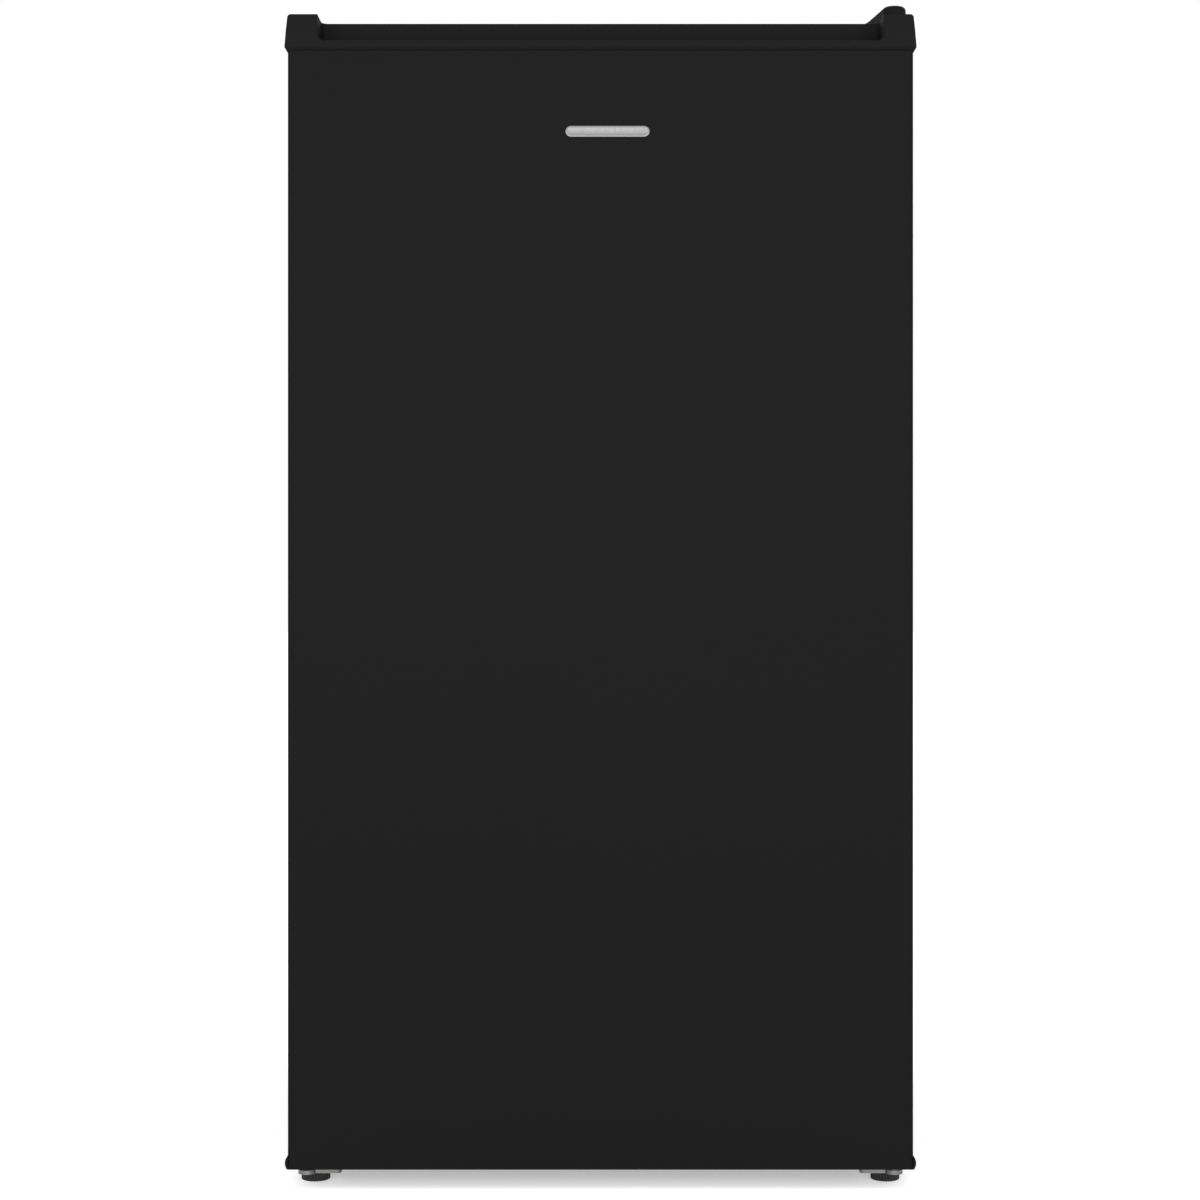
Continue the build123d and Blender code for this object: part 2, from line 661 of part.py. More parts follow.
def door_foam(top_cap, bottom_cap, bushes, liner):
    """The insulation that fills the door between its skin, caps and liner."""
    fill = block(
        (-SKIN_INNER_X, SKIN_INNER_X),
        (DOOR_FRONT_Y + SHEET, DOOR_BACK_Y - 1),
        (DOOR_BOTTOM_Z + CAP_WALL, PANEL_TOP_Z),
    )
    fill = fillet(fill.edges().filter_by(Axis.Z), DOOR_CORNER - SHEET)
    trough = block(
        (-TROUGH_HALF_X, TROUGH_HALF_X),
        (LIP_BACK_Y, TROUGH_BACK_Y),
        (TROUGH_FLOOR_Z, OVERALL_HEIGHT),
    )
    whole = fill + plug_form(LINER) - top_cap - bottom_cap - bushes - liner - trough
    below_pin = rod((PIN_X, PIN_Y, 0), (PIN_X, PIN_Y, 40.0), BUSH_RADIUS)
    return (whole - below_pin).solids().sort_by(SortBy.VOLUME)[-1]


GASKET_OUTER_X = 209.0
GASKET_INNER_X = 191.0
GASKET_BOTTOM_Z = 24.0
GASKET_TOP_Z = 824.0
GASKET_WIDTH = GASKET_OUTER_X - GASKET_INNER_X
GASKET_CLEARANCE = 0.4
MAGNET_WIDTH = 8.0
MAGNET_THICKNESS = 2.0
GASKET_FACE_Y = CABINET_FRONT_Y - GASKET_CLEARANCE


def gasket_frame(inset, y):
    """A rectangular ring around the door's mouth, narrowed by an inset on both of its edges."""
    outer = block(
        (-GASKET_OUTER_X + inset, GASKET_OUTER_X - inset),
        y,
        (GASKET_BOTTOM_Z + inset, GASKET_TOP_Z - inset),
    )
    width = GASKET_WIDTH - inset
    inner = block(
        (-GASKET_OUTER_X + width, GASKET_OUTER_X - width),
        (y[0] - 1, y[1] + 1),
        (GASKET_BOTTOM_Z + width, GASKET_TOP_Z - width),
    )
    return outer - inner


def magnet_bars():
    """Four flexible magnet strips, one in each side of the gasket."""
    middle = GASKET_WIDTH / 2
    half = MAGNET_WIDTH / 2
    cover = 0.8
    end_gap = 2.0
    y = (GASKET_FACE_Y - cover - MAGNET_THICKNESS, GASKET_FACE_Y - cover)
    across = GASKET_OUTER_X - GASKET_WIDTH - end_gap
    low = GASKET_BOTTOM_Z + GASKET_WIDTH + end_gap
    high = GASKET_TOP_Z - GASKET_WIDTH - end_gap
    bars = []
    for side in (1, -1):
        x = (GASKET_OUTER_X - middle) * side
        bars.append(block((x - half, x + half), y, (low, high)))
    for z in (GASKET_BOTTOM_Z + middle, GASKET_TOP_Z - middle):
        bars.append(block((-across, across), y, (z - half, z + half)))
    return bars


def door_gasket():
    """The white magnetic seal: a wide root on the door, a hollow bellows and a flat sealing face."""
    root_top = DOOR_BACK_Y + 2.5
    face_foot = GASKET_FACE_Y - 3.5
    root = gasket_frame(0, (DOOR_BACK_Y, root_top))
    bellows = gasket_frame(3.0, (root_top, face_foot))
    face = gasket_frame(1.5, (face_foot, GASKET_FACE_Y))
    seal = root + bellows + face
    for bar in magnet_bars():
        seal -= bar
    return seal


def badge():
    """A plain pill-shaped plate on the door's face."""
    length = 60.0
    height = 8.0
    proud = 1.2
    middle_x = 5.0
    middle_z = 752.0
    pill = extrude(SlotOverall(length, height), amount=proud / 2, both=True)
    plate = Pos(middle_x, DOOR_FRONT_Y - proud / 2, middle_z) * Rot(90, 0, 0) * pill
    return fillet(plate.faces().sort_by(Axis.Y)[0].edges(), 0.5)


# ---------------------------------------------------------------- door racks


def rack_ear(underside, side):
    """A pad on a rack's end with a slot, open at its lower end, that drops over a lug."""
    cheek = 5.5
    foot = underside + LUG_RISE - 5.0
    lug_top = underside + LUG_RISE + LUG_HEIGHT
    inner = (RACK_HALF_WIDTH - 0.5) * side
    outer = (DYKE_INNER_X - 1.5) * side
    slot_inner = RACK_HALF_WIDTH * side
    slot_outer = DYKE_INNER_X * side
    ear = block(
        (min(inner, outer), max(inner, outer)),
        (LUG_Y[0] - cheek, LUG_Y[1] + cheek),
        (foot, lug_top + 6),
    )
    slot = block(
        (min(slot_inner, slot_outer), max(slot_inner, slot_outer)),
        (LUG_Y[0] - LUG_GAP, LUG_Y[1] + LUG_GAP),
        (foot - 1, lug_top),
    )
    return ear - slot


def door_rack(underside, height):
    """A bin that hangs between the rails on slots open at their lower ends."""
    top = underside + height
    walls = upright(
        plan((-RACK_HALF_WIDTH, RACK_HALF_WIDTH), (RACK_BACK_Y, RACK_FRONT_Y), RACK_CORNER),
        underside,
        top,
    )
    hollow_x = RACK_HALF_WIDTH - RACK_WALL
    hollow_y = (RACK_BACK_Y + RACK_WALL, RACK_FRONT_Y - RACK_WALL)
    hollow = upright(
        plan((-hollow_x, hollow_x), hollow_y, RACK_CORNER - RACK_WALL),
        underside + RACK_WALL,
        top,
    )
    window_half_x = RACK_HALF_WIDTH - 26
    window = block(
        (-window_half_x, window_half_x),
        (RACK_FRONT_Y - 2 * RACK_WALL, RACK_FRONT_Y + 1),
        (top - 22, top - 10),
    )
    window = fillet(window.edges().filter_by(Axis.Y), 4.0)
    return walls - hollow - window + rack_ear(underside, 1) + rack_ear(underside, -1)


# ---------------------------------------------------------------- freezer

BOX_HALF_X = 170.0
BOX_FRONT_Y = -60.0
BOX_BACK_Y = 178.0
BOX_BOTTOM_Z = 668.0
BOX_TOP_Z = 786.0
BOX_WALL = 1.5
FRAME_FRONT_Y = -66.0
FRAME_HALF_X = 176.0
MOUTH_HALF_X = 158.0
MOUTH_BOTTOM_Z = 676.0
MOUTH_TOP_Z = 780.0
FLAP_AXIS_Y = -62.5
FLAP_AXIS_Z = 776.5
FLAP_PIN = 1.5
FLAP_BARREL = 2.8
FLAP_HALF_X = MOUTH_HALF_X - 1.0
FLAP_HALF_THICKNESS = 1.5
FLAP_FOOT_Z = MOUTH_BOTTOM_Z + 1.5
SOCKET_END_X = MOUTH_HALF_X + 4.0


def evaporator_box():
    """The folded aluminium freezer box that is also the evaporator."""
    outer = block((-BOX_HALF_X, BOX_HALF_X), (BOX_FRONT_Y, BOX_BACK_Y), (BOX_BOTTOM_Z, BOX_TOP_Z))
    outer = fillet(outer.edges().filter_by(Axis.Y), 6.0)
    inner = block(
        (-BOX_HALF_X + BOX_WALL, BOX_HALF_X - BOX_WALL),
        (BOX_FRONT_Y - 1, BOX_BACK_Y - BOX_WALL),
        (BOX_BOTTOM_Z + BOX_WALL, BOX_TOP_Z - BOX_WALL),
    )
    return outer - fillet(inner.edges().filter_by(Axis.Y), 6.0 - BOX_WALL)


def evaporator_hangers():
    """Posts that hang the freezer box from the liner's ceiling."""
    radius = 6.0
    posts = []
    for x in (-140.0, 140.0):
        for y in (-20.0, 150.0):
            posts.append(rod((x, y, BOX_TOP_Z), (x, y, ROOM_CEILING_Z), radius))
    return group(posts)


def freezer_front_frame():
    """The white frame around the freezer's mouth, with sockets for the flap."""
    overlap = 4.0
    frame = block(
        (-FRAME_HALF_X, FRAME_HALF_X),
        (FRAME_FRONT_Y, BOX_FRONT_Y),
        (BOX_BOTTOM_Z - overlap, BOX_TOP_Z + overlap),
    )
    frame = fillet(frame.edges().filter_by(Axis.Y), 5.0)
    mouth = block(
        (-MOUTH_HALF_X, MOUTH_HALF_X),
        (FRAME_FRONT_Y - 1, BOX_FRONT_Y + 1),
        (MOUTH_BOTTOM_Z, MOUTH_TOP_Z),
    )
    sockets = rod(
        (-SOCKET_END_X, FLAP_AXIS_Y, FLAP_AXIS_Z),
        (SOCKET_END_X, FLAP_AXIS_Y, FLAP_AXIS_Z),
        FLAP_PIN + RUNNING_GAP,
    )
    return frame - mouth - sockets


def freezer_flap():
    """The freezer's white flap, hung on two pins along its top edge."""
    left_end = (-FLAP_HALF_X, FLAP_AXIS_Y, FLAP_AXIS_Z)
    right_end = (FLAP_HALF_X, FLAP_AXIS_Y, FLAP_AXIS_Z)
    plate = block(
        (-FLAP_HALF_X, FLAP_HALF_X),
        (FLAP_AXIS_Y - FLAP_HALF_THICKNESS, FLAP_AXIS_Y + FLAP_HALF_THICKNESS),
        (FLAP_FOOT_Z, FLAP_AXIS_Z),
    )
    barrel = rod(left_end, right_end, FLAP_BARREL)
    pin_end = SOCKET_END_X - 1.0
    pins = rod((-pin_end, FLAP_AXIS_Y, FLAP_AXIS_Z), (pin_end, FLAP_AXIS_Y, FLAP_AXIS_Z), FLAP_PIN)
    grip = block((-45, 45), (FLAP_AXIS_Y - 8, FLAP_AXIS_Y), (FLAP_FOOT_Z, FLAP_FOOT_Z + 2.5))
    grip = fillet(grip.edges().filter_by(Axis.Z).sort_by(Axis.Y)[:2], 5.0)
    return plate + barrel + pins + grip


def drip_tray():
    """The tray under the freezer, whose rim slides on the liner's ribs."""
    wall = 2.0
    corner = 6.0
    floor_z = DRIP_TRAY_Z - 19.0
    rim_top = DRIP_TRAY_Z + wall
    front = BOX_FRONT_Y + 2
    back = 150.0
    rim_x = HALF_ROOM - 1.5
    body_x = HALF_ROOM - RIB_REACH - 2.0
    hollow_x = body_x - wall
    body = upright(plan((-body_x, body_x), (front, back), corner), floor_z, rim_top)
    rim = upright(plan((-rim_x, rim_x), (front, back), wall), DRIP_TRAY_Z, rim_top)
    hollow_outline = plan((-hollow_x, hollow_x), (front + wall, back - wall), corner - wall)
    return body + rim - upright(hollow_outline, floor_z + wall, rim_top + 1)


# ---------------------------------------------------------------- shelves and crisper

SHELF_FRONT_Y = -90.0
SHELF_BACK_Y = 176.0
GLASS = 4.0
TRIM_HALF_X = 175.0


def shelf_glass(z):
    """A pane that rests on a pair of the liner's ribs."""
    half = HALF_ROOM - 2.0
    return upright(plan((-half, half), (SHELF_FRONT_Y, SHELF_BACK_Y), 3.0), z, z + GLASS)


def shelf_trims(z):
    """The grooved plastic strips on a shelf's front and rear edges; the rear one stands up as a stop."""
    slot = shelf_glass(z)
    across = (-TRIM_HALF_X, TRIM_HALF_X)
    front = block(across, (SHELF_FRONT_Y - 6, SHELF_FRONT_Y + 8), (z - 4, z + GLASS + 4))
    front = fillet(front.edges().filter_by(Axis.X), 2.0)
    rear = block(across, (SHELF_BACK_Y - 8, SHELF_BACK_Y + 4), (z - 3, z + GLASS + 8))
    rear = fillet(rear.edges().filter_by(Axis.X), 2.0)
    return group([front - slot, rear - slot])


CRISPER_HALF_X = 172.0
CRISPER_FRONT_Y = -92.0
CRISPER_BACK_Y = 20.0
CRISPER_FLOOR_Z = ROOM_FLOOR_Z + 0.5
CRISPER_TOP_Z = 221.0
CRISPER_WALL = 2.5
CRISPER_CORNER = 12.0
CRISPER_FOOT_ROUND = 8.0


def crisper_drawer():
    """The salad drawer in front of the liner's step, with a finger pull along its top edge."""
    outside = upright(
        plan((-CRISPER_HALF_X, CRISPER_HALF_X), (CRISPER_FRONT_Y, CRISPER_BACK_Y), CRISPER_CORNER),
        CRISPER_FLOOR_Z,
        CRISPER_TOP_Z,
    )
    outside = fillet(outside.faces().sort_by(Axis.Z)[0].edges(), CRISPER_FOOT_ROUND)
    inner_x = CRISPER_HALF_X - CRISPER_WALL
    inner_y = (CRISPER_FRONT_Y + CRISPER_WALL, CRISPER_BACK_Y - CRISPER_WALL)
    inside = upright(
        plan((-inner_x, inner_x), inner_y, CRISPER_CORNER - CRISPER_WALL),
        CRISPER_FLOOR_Z + CRISPER_WALL,
        CRISPER_TOP_Z + 1,
    )
    inside = fillet(inside.faces().sort_by(Axis.Z)[0].edges(), CRISPER_FOOT_ROUND - CRISPER_WALL)
    pull_y = (CRISPER_FRONT_Y - 3, CRISPER_FRONT_Y + 1)
    pull = block((-70, 70), pull_y, (CRISPER_TOP_Z - 9, CRISPER_TOP_Z))
    pull = fillet(pull.edges().filter_by(Axis.Z).sort_by(Axis.Y)[:2], 2.5)
    return outside - inside + pull


# ---------------------------------------------------------------- thermostat and lamp

HOUSING_FACE_X = 160.0
HOUSING_Y = (-95.0, -15.0)
HOUSING_Z = (540.0, 628.0)
HOUSING_WALL = 2.0
KNOB_Y = -62.0
KNOB_Z = 597.0
KNOB_RADIUS = 17.0
KNOB_TIP_X = 146.5
KNOB_SHAFT = 3.0
LENS_Y = (-85.0, -25.0)
LENS_Z = (546.0, 570.0)


def thermostat_housing():
    """The white box on the right wall that holds the thermostat and the lamp."""
    corner = 8.0
    outside = block((HOUSING_FACE_X, HALF_ROOM), HOUSING_Y, HOUSING_Z)
    outside = fillet(outside.edges().filter_by(Axis.X), corner)
    outside = fillet(outside.faces().sort_by(Axis.X)[0].edges(), 3.0)
    inside = block(
        (HOUSING_FACE_X + HOUSING_WALL, HALF_ROOM + 1),
        (HOUSING_Y[0] + HOUSING_WALL, HOUSING_Y[1] - HOUSING_WALL),
        (HOUSING_Z[0] + HOUSING_WALL, HOUSING_Z[1] - HOUSING_WALL),
    )
    inside = fillet(inside.edges().filter_by(Axis.X), corner - HOUSING_WALL)
    bore = rod((0, KNOB_Y, KNOB_Z), (HALF_ROOM, KNOB_Y, KNOB_Z), KNOB_SHAFT + RUNNING_GAP)
    return outside - inside - bore


def thermostat_knob():
    """The temperature knob: a round skirt, a grip bar and a shaft."""
    foot = HOUSING_FACE_X - 0.5
    skirt = rod((foot - 4, KNOB_Y, KNOB_Z), (foot, KNOB_Y, KNOB_Z), KNOB_RADIUS)
    skirt = fillet(skirt.faces().sort_by(Axis.X)[0].edges(), 1.0)
    grip = block((KNOB_TIP_X, foot - 3), (KNOB_Y - 4, KNOB_Y + 4), (KNOB_Z - 14, KNOB_Z + 14))
    grip = fillet(grip.edges().filter_by(Axis.X), 3.0)
    shaft = rod((foot - 1, KNOB_Y, KNOB_Z), (foot + 12, KNOB_Y, KNOB_Z), KNOB_SHAFT)
    return skirt + grip + shaft


def lamp_lens():
    """The lens over the lamp, on the face of the thermostat's housing."""
    lens = block((HOUSING_FACE_X - 3.5, HOUSING_FACE_X), LENS_Y, LENS_Z)
    lens = fillet(lens.edges().filter_by(Axis.X), 5.0)
    return fillet(lens.faces().sort_by(Axis.X)[0].edges(), 2.0)


# ---------------------------------------------------------------- cooling circuit

PLATE_FRONT_Y = 92.0
PLATE_TOP_Z = CABINET_BOTTOM_Z + 2.0
GROMMET_RADIUS = 8.0
GROMMET_NECK = 4.0
GROMMET_STEM = 4.8
GROMMET_X = 78.0
GROMMET_Y = 52.0
SHELL_X = -20.0
SHELL_Y = 140.0
SHELL_HALF_X = 72.0
SHELL_HALF_Y = 54.0
SHELL_BOTTOM_Z = 22.0
SHELL_TOP_Z = 158.0
SEAM_PROUD = 3.5
SEAM_HALF_HEIGHT = 2.5
BASE_BOTTOM_Z = 19.0
BASE_THICKNESS = 4.0
TRAY_BOTTOM_Z = SHELL_TOP_Z + 0.5
GLAND_X = 150.0
GLAND_Z = 30.0
GLAND_PLATE_Y = 219.0
GLAND_NECK = 6.0
GLAND_BORE = 3.6
CONDENSER_Y = 231.0
CONDENSER_TUBE = 2.4
WIRE_RADIUS = 0.8
RUN_SPACING = 45.0
RUN_COUNT = 13
FIRST_RUN_Z = 240.0
RUN_HALF_X = 178.0
FEED_X = -140.0
RETURN_X = 196.0
SUCTION_Y = 210.0
CAPILLARY_X = 150.0
CAPILLARY_Y = 200.0
CAPILLARY_RADIUS = 1.2
SUCTION_RADIUS = 4.0
TUBE_CLEARANCE = 0.5  # around a tube, where it passes through the bay's roof


def suction_hole():
    foot = (SHELL_X, SUCTION_Y, BAY_ROOF_Z - 1)
    top = (SHELL_X, SUCTION_Y, BAY_ROOF_Z + SHEET)
    return rod(foot, top, SUCTION_RADIUS + TUBE_CLEARANCE)


def capillary_hole():
    foot = (CAPILLARY_X, CAPILLARY_Y, BAY_ROOF_Z - 1)
    top = (CAPILLARY_X, CAPILLARY_Y, BAY_ROOF_Z + SHEET)
    return rod(foot, top, CAPILLARY_RADIUS + TUBE_CLEARANCE)


def grommet_places():
    """The (x, y) places of the compressor's four mounts."""
    across = (SHELL_X - GROMMET_X, SHELL_X + GROMMET_X)
    deep = (SHELL_Y - GROMMET_Y, SHELL_Y + GROMMET_Y)
    return [(x, y) for x in across for y in deep]


def compressor_plate():
    """The steel base plate of the bay, with an upstand that holds the cord gland."""
    plate = block(
        (-SKIN_INNER_X, SKIN_INNER_X),
        (PLATE_FRONT_Y, SKIN_BACK_Y),
        (CABINET_BOTTOM_Z, PLATE_TOP_Z),
    )
    plate = chamfer(plate.edges().filter_by(Axis.Z).sort_by(Axis.Y)[-2:], SHELL_BEND)
    upstand = block(
        (GLAND_X - 30, GLAND_X + 30),
        (GLAND_PLATE_Y, SKIN_BACK_Y),
        (CABINET_BOTTOM_Z, GLAND_Z + 16),
    )
    upstand = fillet(upstand.edges().filter_by(Axis.Y).sort_by(Axis.Z)[-2:], 6.0)
    hole = rod((GLAND_X, GLAND_PLATE_Y - 1, GLAND_Z), (GLAND_X, SKIN_BACK_Y + 1, GLAND_Z), GLAND_NECK)
    for x, y in grommet_places():
        hole += rod((x, y, CABINET_BOTTOM_Z), (x, y, PLATE_TOP_Z), GROMMET_NECK)
    return plate + upstand - hole


def compressor_shell():
    """The welded steel pot: two domed halves that meet at a seam."""
    place = Pos(SHELL_X, SHELL_Y)
    body = upright(place * Ellipse(SHELL_HALF_X, SHELL_HALF_Y), SHELL_BOTTOM_Z, SHELL_TOP_Z)
    body = fillet(body.faces().sort_by(Axis.Z)[-1].edges(), 34.0)
    body = fillet(body.faces().sort_by(Axis.Z)[0].edges(), 16.0)
    seam_z = (SHELL_BOTTOM_Z + SHELL_TOP_Z) / 2
    seam = place * Ellipse(SHELL_HALF_X + SEAM_PROUD, SHELL_HALF_Y + SEAM_PROUD)
    return body + upright(seam, seam_z - SEAM_HALF_HEIGHT, seam_z + SEAM_HALF_HEIGHT)


def compressor():
    """The compressor: its pot on a pressed base with four feet."""
    border = 12.0
    notch_depth = 14.0
    base_x = (SHELL_X - GROMMET_X - border, SHELL_X + GROMMET_X + border)
    base_y = (SHELL_Y - GROMMET_Y - border, SHELL_Y + GROMMET_Y + border)
    base = upright(plan(base_x, base_y, 10.0), BASE_BOTTOM_Z, BASE_BOTTOM_Z + BASE_THICKNESS)
    for x, y in grommet_places():
        base -= rod((x, y, 0), (x, y, SHELL_TOP_Z), GROMMET_STEM)
    notch_x = (SHELL_X - GROMMET_X + 16, SHELL_X + GROMMET_X - 16)
    for y in base_y:
        base -= upright(plan(notch_x, (y - notch_depth, y + notch_depth), 8.0), 0, SHELL_TOP_Z)
    return compressor_shell() + base


def compressor_grommets():
    """Rubber mounts between the compressor's feet and the base plate."""
    base_top = BASE_BOTTOM_Z + BASE_THICKNESS
    head_top = base_top + 2.0
    grommets = []
    for x, y in grommet_places():
        body = rod((x, y, PLATE_TOP_Z), (x, y, BASE_BOTTOM_Z), GROMMET_RADIUS)
        neck = rod((x, y, CABINET_BOTTOM_Z), (x, y, PLATE_TOP_Z), GROMMET_NECK)
        stem = rod((x, y, BASE_BOTTOM_Z), (x, y, head_top), GROMMET_STEM)
        head = rod((x, y, base_top), (x, y, head_top), 1.5 * GROMMET_STEM)
        grommets.append(body + neck + stem + head)
    return group(grommets)


def terminal_cover():
    """The plastic cover over the compressor's terminals, relay and overload."""
    cover = block((SHELL_X + 50, SHELL_X + 98), (SHELL_Y - 30, SHELL_Y + 26), (66.0, 118.0))
    cover = fillet(cover.edges().filter_by(Axis.X), 6.0)
    return cover - compressor_shell()


def refrigerant_tubes():
    """The discharge, suction and capillary tubes around the compressor."""
    discharge = tube_along(
        [
            (SHELL_X - SHELL_HALF_X + 10, SHELL_Y, 110.0),
            (FEED_X, SHELL_Y, 110.0),
            (FEED_X, CONDENSER_Y, 110.0),
            (FEED_X, CONDENSER_Y, 150.0),
        ],
        CONDENSER_TUBE,
        14.0,
    )
    suction = tube_along(
        [
            (SHELL_X, SHELL_Y + SHELL_HALF_Y - 8, 74.0),
            (SHELL_X, SUCTION_Y, 74.0),
            (SHELL_X, SUCTION_Y, BAY_ROOF_Z),
        ],
        SUCTION_RADIUS,
        8.0,
    )
    capillary = tube_along(
        [
            (RETURN_X, CONDENSER_Y, 96.0),
            (RETURN_X, CONDENSER_Y, 76.0),
            (CAPILLARY_X, CONDENSER_Y, 76.0),
            (CAPILLARY_X, CAPILLARY_Y, 76.0),
            (CAPILLARY_X, CAPILLARY_Y, BAY_ROOF_Z),
        ],
        CAPILLARY_RADIUS,
        9.0,
    )
    shell = compressor_shell()
    outside = [(tube - shell).solids().sort_by(SortBy.VOLUME)[-1] for tube in (discharge, suction)]
    return group(outside + [capillary])


def condenser_tube():
    """The hot tube: a serpentine up the back, then straight down to the filter drier."""
    points = [(FEED_X, CONDENSER_Y, 150.0), (FEED_X, CONDENSER_Y, FIRST_RUN_Z)]
    for i in range(RUN_COUNT):
        z = FIRST_RUN_Z + RUN_SPACING * i
        end_x = RUN_HALF_X if i % 2 == 0 else -RUN_HALF_X
        if i > 0:
            points.append((-end_x, CONDENSER_Y, z))
        if i < RUN_COUNT - 1:
            points.append((end_x, CONDENSER_Y, z))
    points.append((RETURN_X, CONDENSER_Y, FIRST_RUN_Z + RUN_SPACING * (RUN_COUNT - 1)))
    points.append((RETURN_X, CONDENSER_Y, 158.0))
    return tube_along(points, CONDENSER_TUBE, 16.0)


def condenser_wires():
    """Fins of steel wire welded across the serpentine, held by a cross wire at each end."""
    y = CONDENSER_Y + CONDENSER_TUBE + WIRE_RADIUS
    low = FIRST_RUN_Z - 14
    high = FIRST_RUN_Z + RUN_SPACING * (RUN_COUNT - 1) + 14
    count = 25
    half = 150.0
    wires = [
        rod((x, y, low), (x, y, high), WIRE_RADIUS)
        for x in (-half + 2 * half * i / (count - 1) for i in range(count))
    ]
    for z in (low + 3, high - 3):
        wires.append(rod((-half, y, z), (half, y, z), WIRE_RADIUS))
    return wires[-1] + wires[:-1]


def condenser_clips():
    """Plastic clips that hold the condenser off the back panel."""
    clips = []
    for run in (1, RUN_COUNT - 2):
        z = FIRST_RUN_Z + RUN_SPACING * run
        for x in (-120.0, 120.0):
            stem = block((x - 7, x + 7), (CABINET_BACK_Y, CONDENSER_Y), (z - 5, z + 5))
            clips.append(stem - rod((x - 8, CONDENSER_Y, z), (x + 8, CONDENSER_Y, z), CONDENSER_TUBE))
    return group(clips)


def filter_drier():
    """The copper drier between the condenser and the capillary."""
    body = rod((RETURN_X, CONDENSER_Y, 104.0), (RETURN_X, CONDENSER_Y, 150.0), 7.5)
    body = fillet(body.edges(), 4.0)
    inlet = rod((RETURN_X, CONDENSER_Y, 148.0), (RETURN_X, CONDENSER_Y, 158.0), CONDENSER_TUBE + 0.6)
    outlet = rod((RETURN_X, CONDENSER_Y, 96.0), (RETURN_X, CONDENSER_Y, 106.0), CONDENSER_TUBE)
    return body + inlet + outlet


def evaporating_tray():
    """The tray on top of the compressor where melt water dries up."""
    x = (SHELL_X - 66, SHELL_X + 66)
    y = (SHELL_Y - 48, SHELL_Y + 52)
    outside = upright(plan(x, y, 12.0), TRAY_BOTTOM_Z, TRAY_BOTTOM_Z + 24)
    inside = upright(plan((x[0] + 2, x[1] - 2), (y[0] + 2, y[1] - 2), 10.0), TRAY_BOTTOM_Z + 2, BAY_ROOF_Z)
    return outside - inside


def cord_gland():
    """The bushed hole where the mains lead enters the bay."""
    neck = rod((GLAND_X, GLAND_PLATE_Y, GLAND_Z), (GLAND_X, SKIN_BACK_Y, GLAND_Z), GLAND_NECK)
    inner = rod((GLAND_X, GLAND_PLATE_Y - 4, GLAND_Z), (GLAND_X, GLAND_PLATE_Y, GLAND_Z), 8.5)
    outer = rod((GLAND_X, SKIN_BACK_Y, GLAND_Z), (GLAND_X, SKIN_BACK_Y + 5, GLAND_Z), 9.0)
    outer = fillet(outer.faces().sort_by(Axis.Y)[-1].edges(), 1.5)
    bore = rod((GLAND_X, 200, GLAND_Z), (GLAND_X, 240, GLAND_Z), GLAND_BORE)
    return neck + inner + outer - bore


def wall_spacers():
    """Stubs that keep the condenser off the wall behind the fridge."""
    z = 815.0
    disc_y = HALF_DEPTH - 4
    stubs = []
    for x in (205.0, -205.0):
        stem = rod((x, CABINET_BACK_Y, z), (x, disc_y, z), 6.0)
        disc = rod((x, disc_y, z), (x, HALF_DEPTH, z), 11.0)
        disc = fillet(disc.faces().sort_by(Axis.Y)[-1].edges(), 1.5)
        stubs.append(stem + disc)
    return group(stubs)


def rear_feet():
    """Two fixed feet under the cabinet's back."""
    y = 190.0
    feet = []
    for x in (190.0, -190.0):
        foot = rod((x, y, 0), (x, y, CABINET_BOTTOM_Z), 14.0)
        feet.append(fillet(foot.faces().sort_by(Axis.Z)[0].edges(), 1.5))
    return group(feet)


def back_panel_screws():
    """The heads of the screws down both sides of the back panel and along its top."""
    head_height = 2.0
    places = [(184.0, 260.0), (184.0, 440.0), (184.0, 620.0), (150.0, 790.0)]
    screws = []
    for x, z in places + [(-x, z) for x, z in places]:
        head = rod((x, CABINET_BACK_Y, z), (x, CABINET_BACK_Y + head_height, z), SCREW_HEAD)
        screws.append(fillet(head.faces().sort_by(Axis.Y)[-1].edges(), 0.7))
    return group(screws)


# ---------------------------------------------------------------- the whole fridge


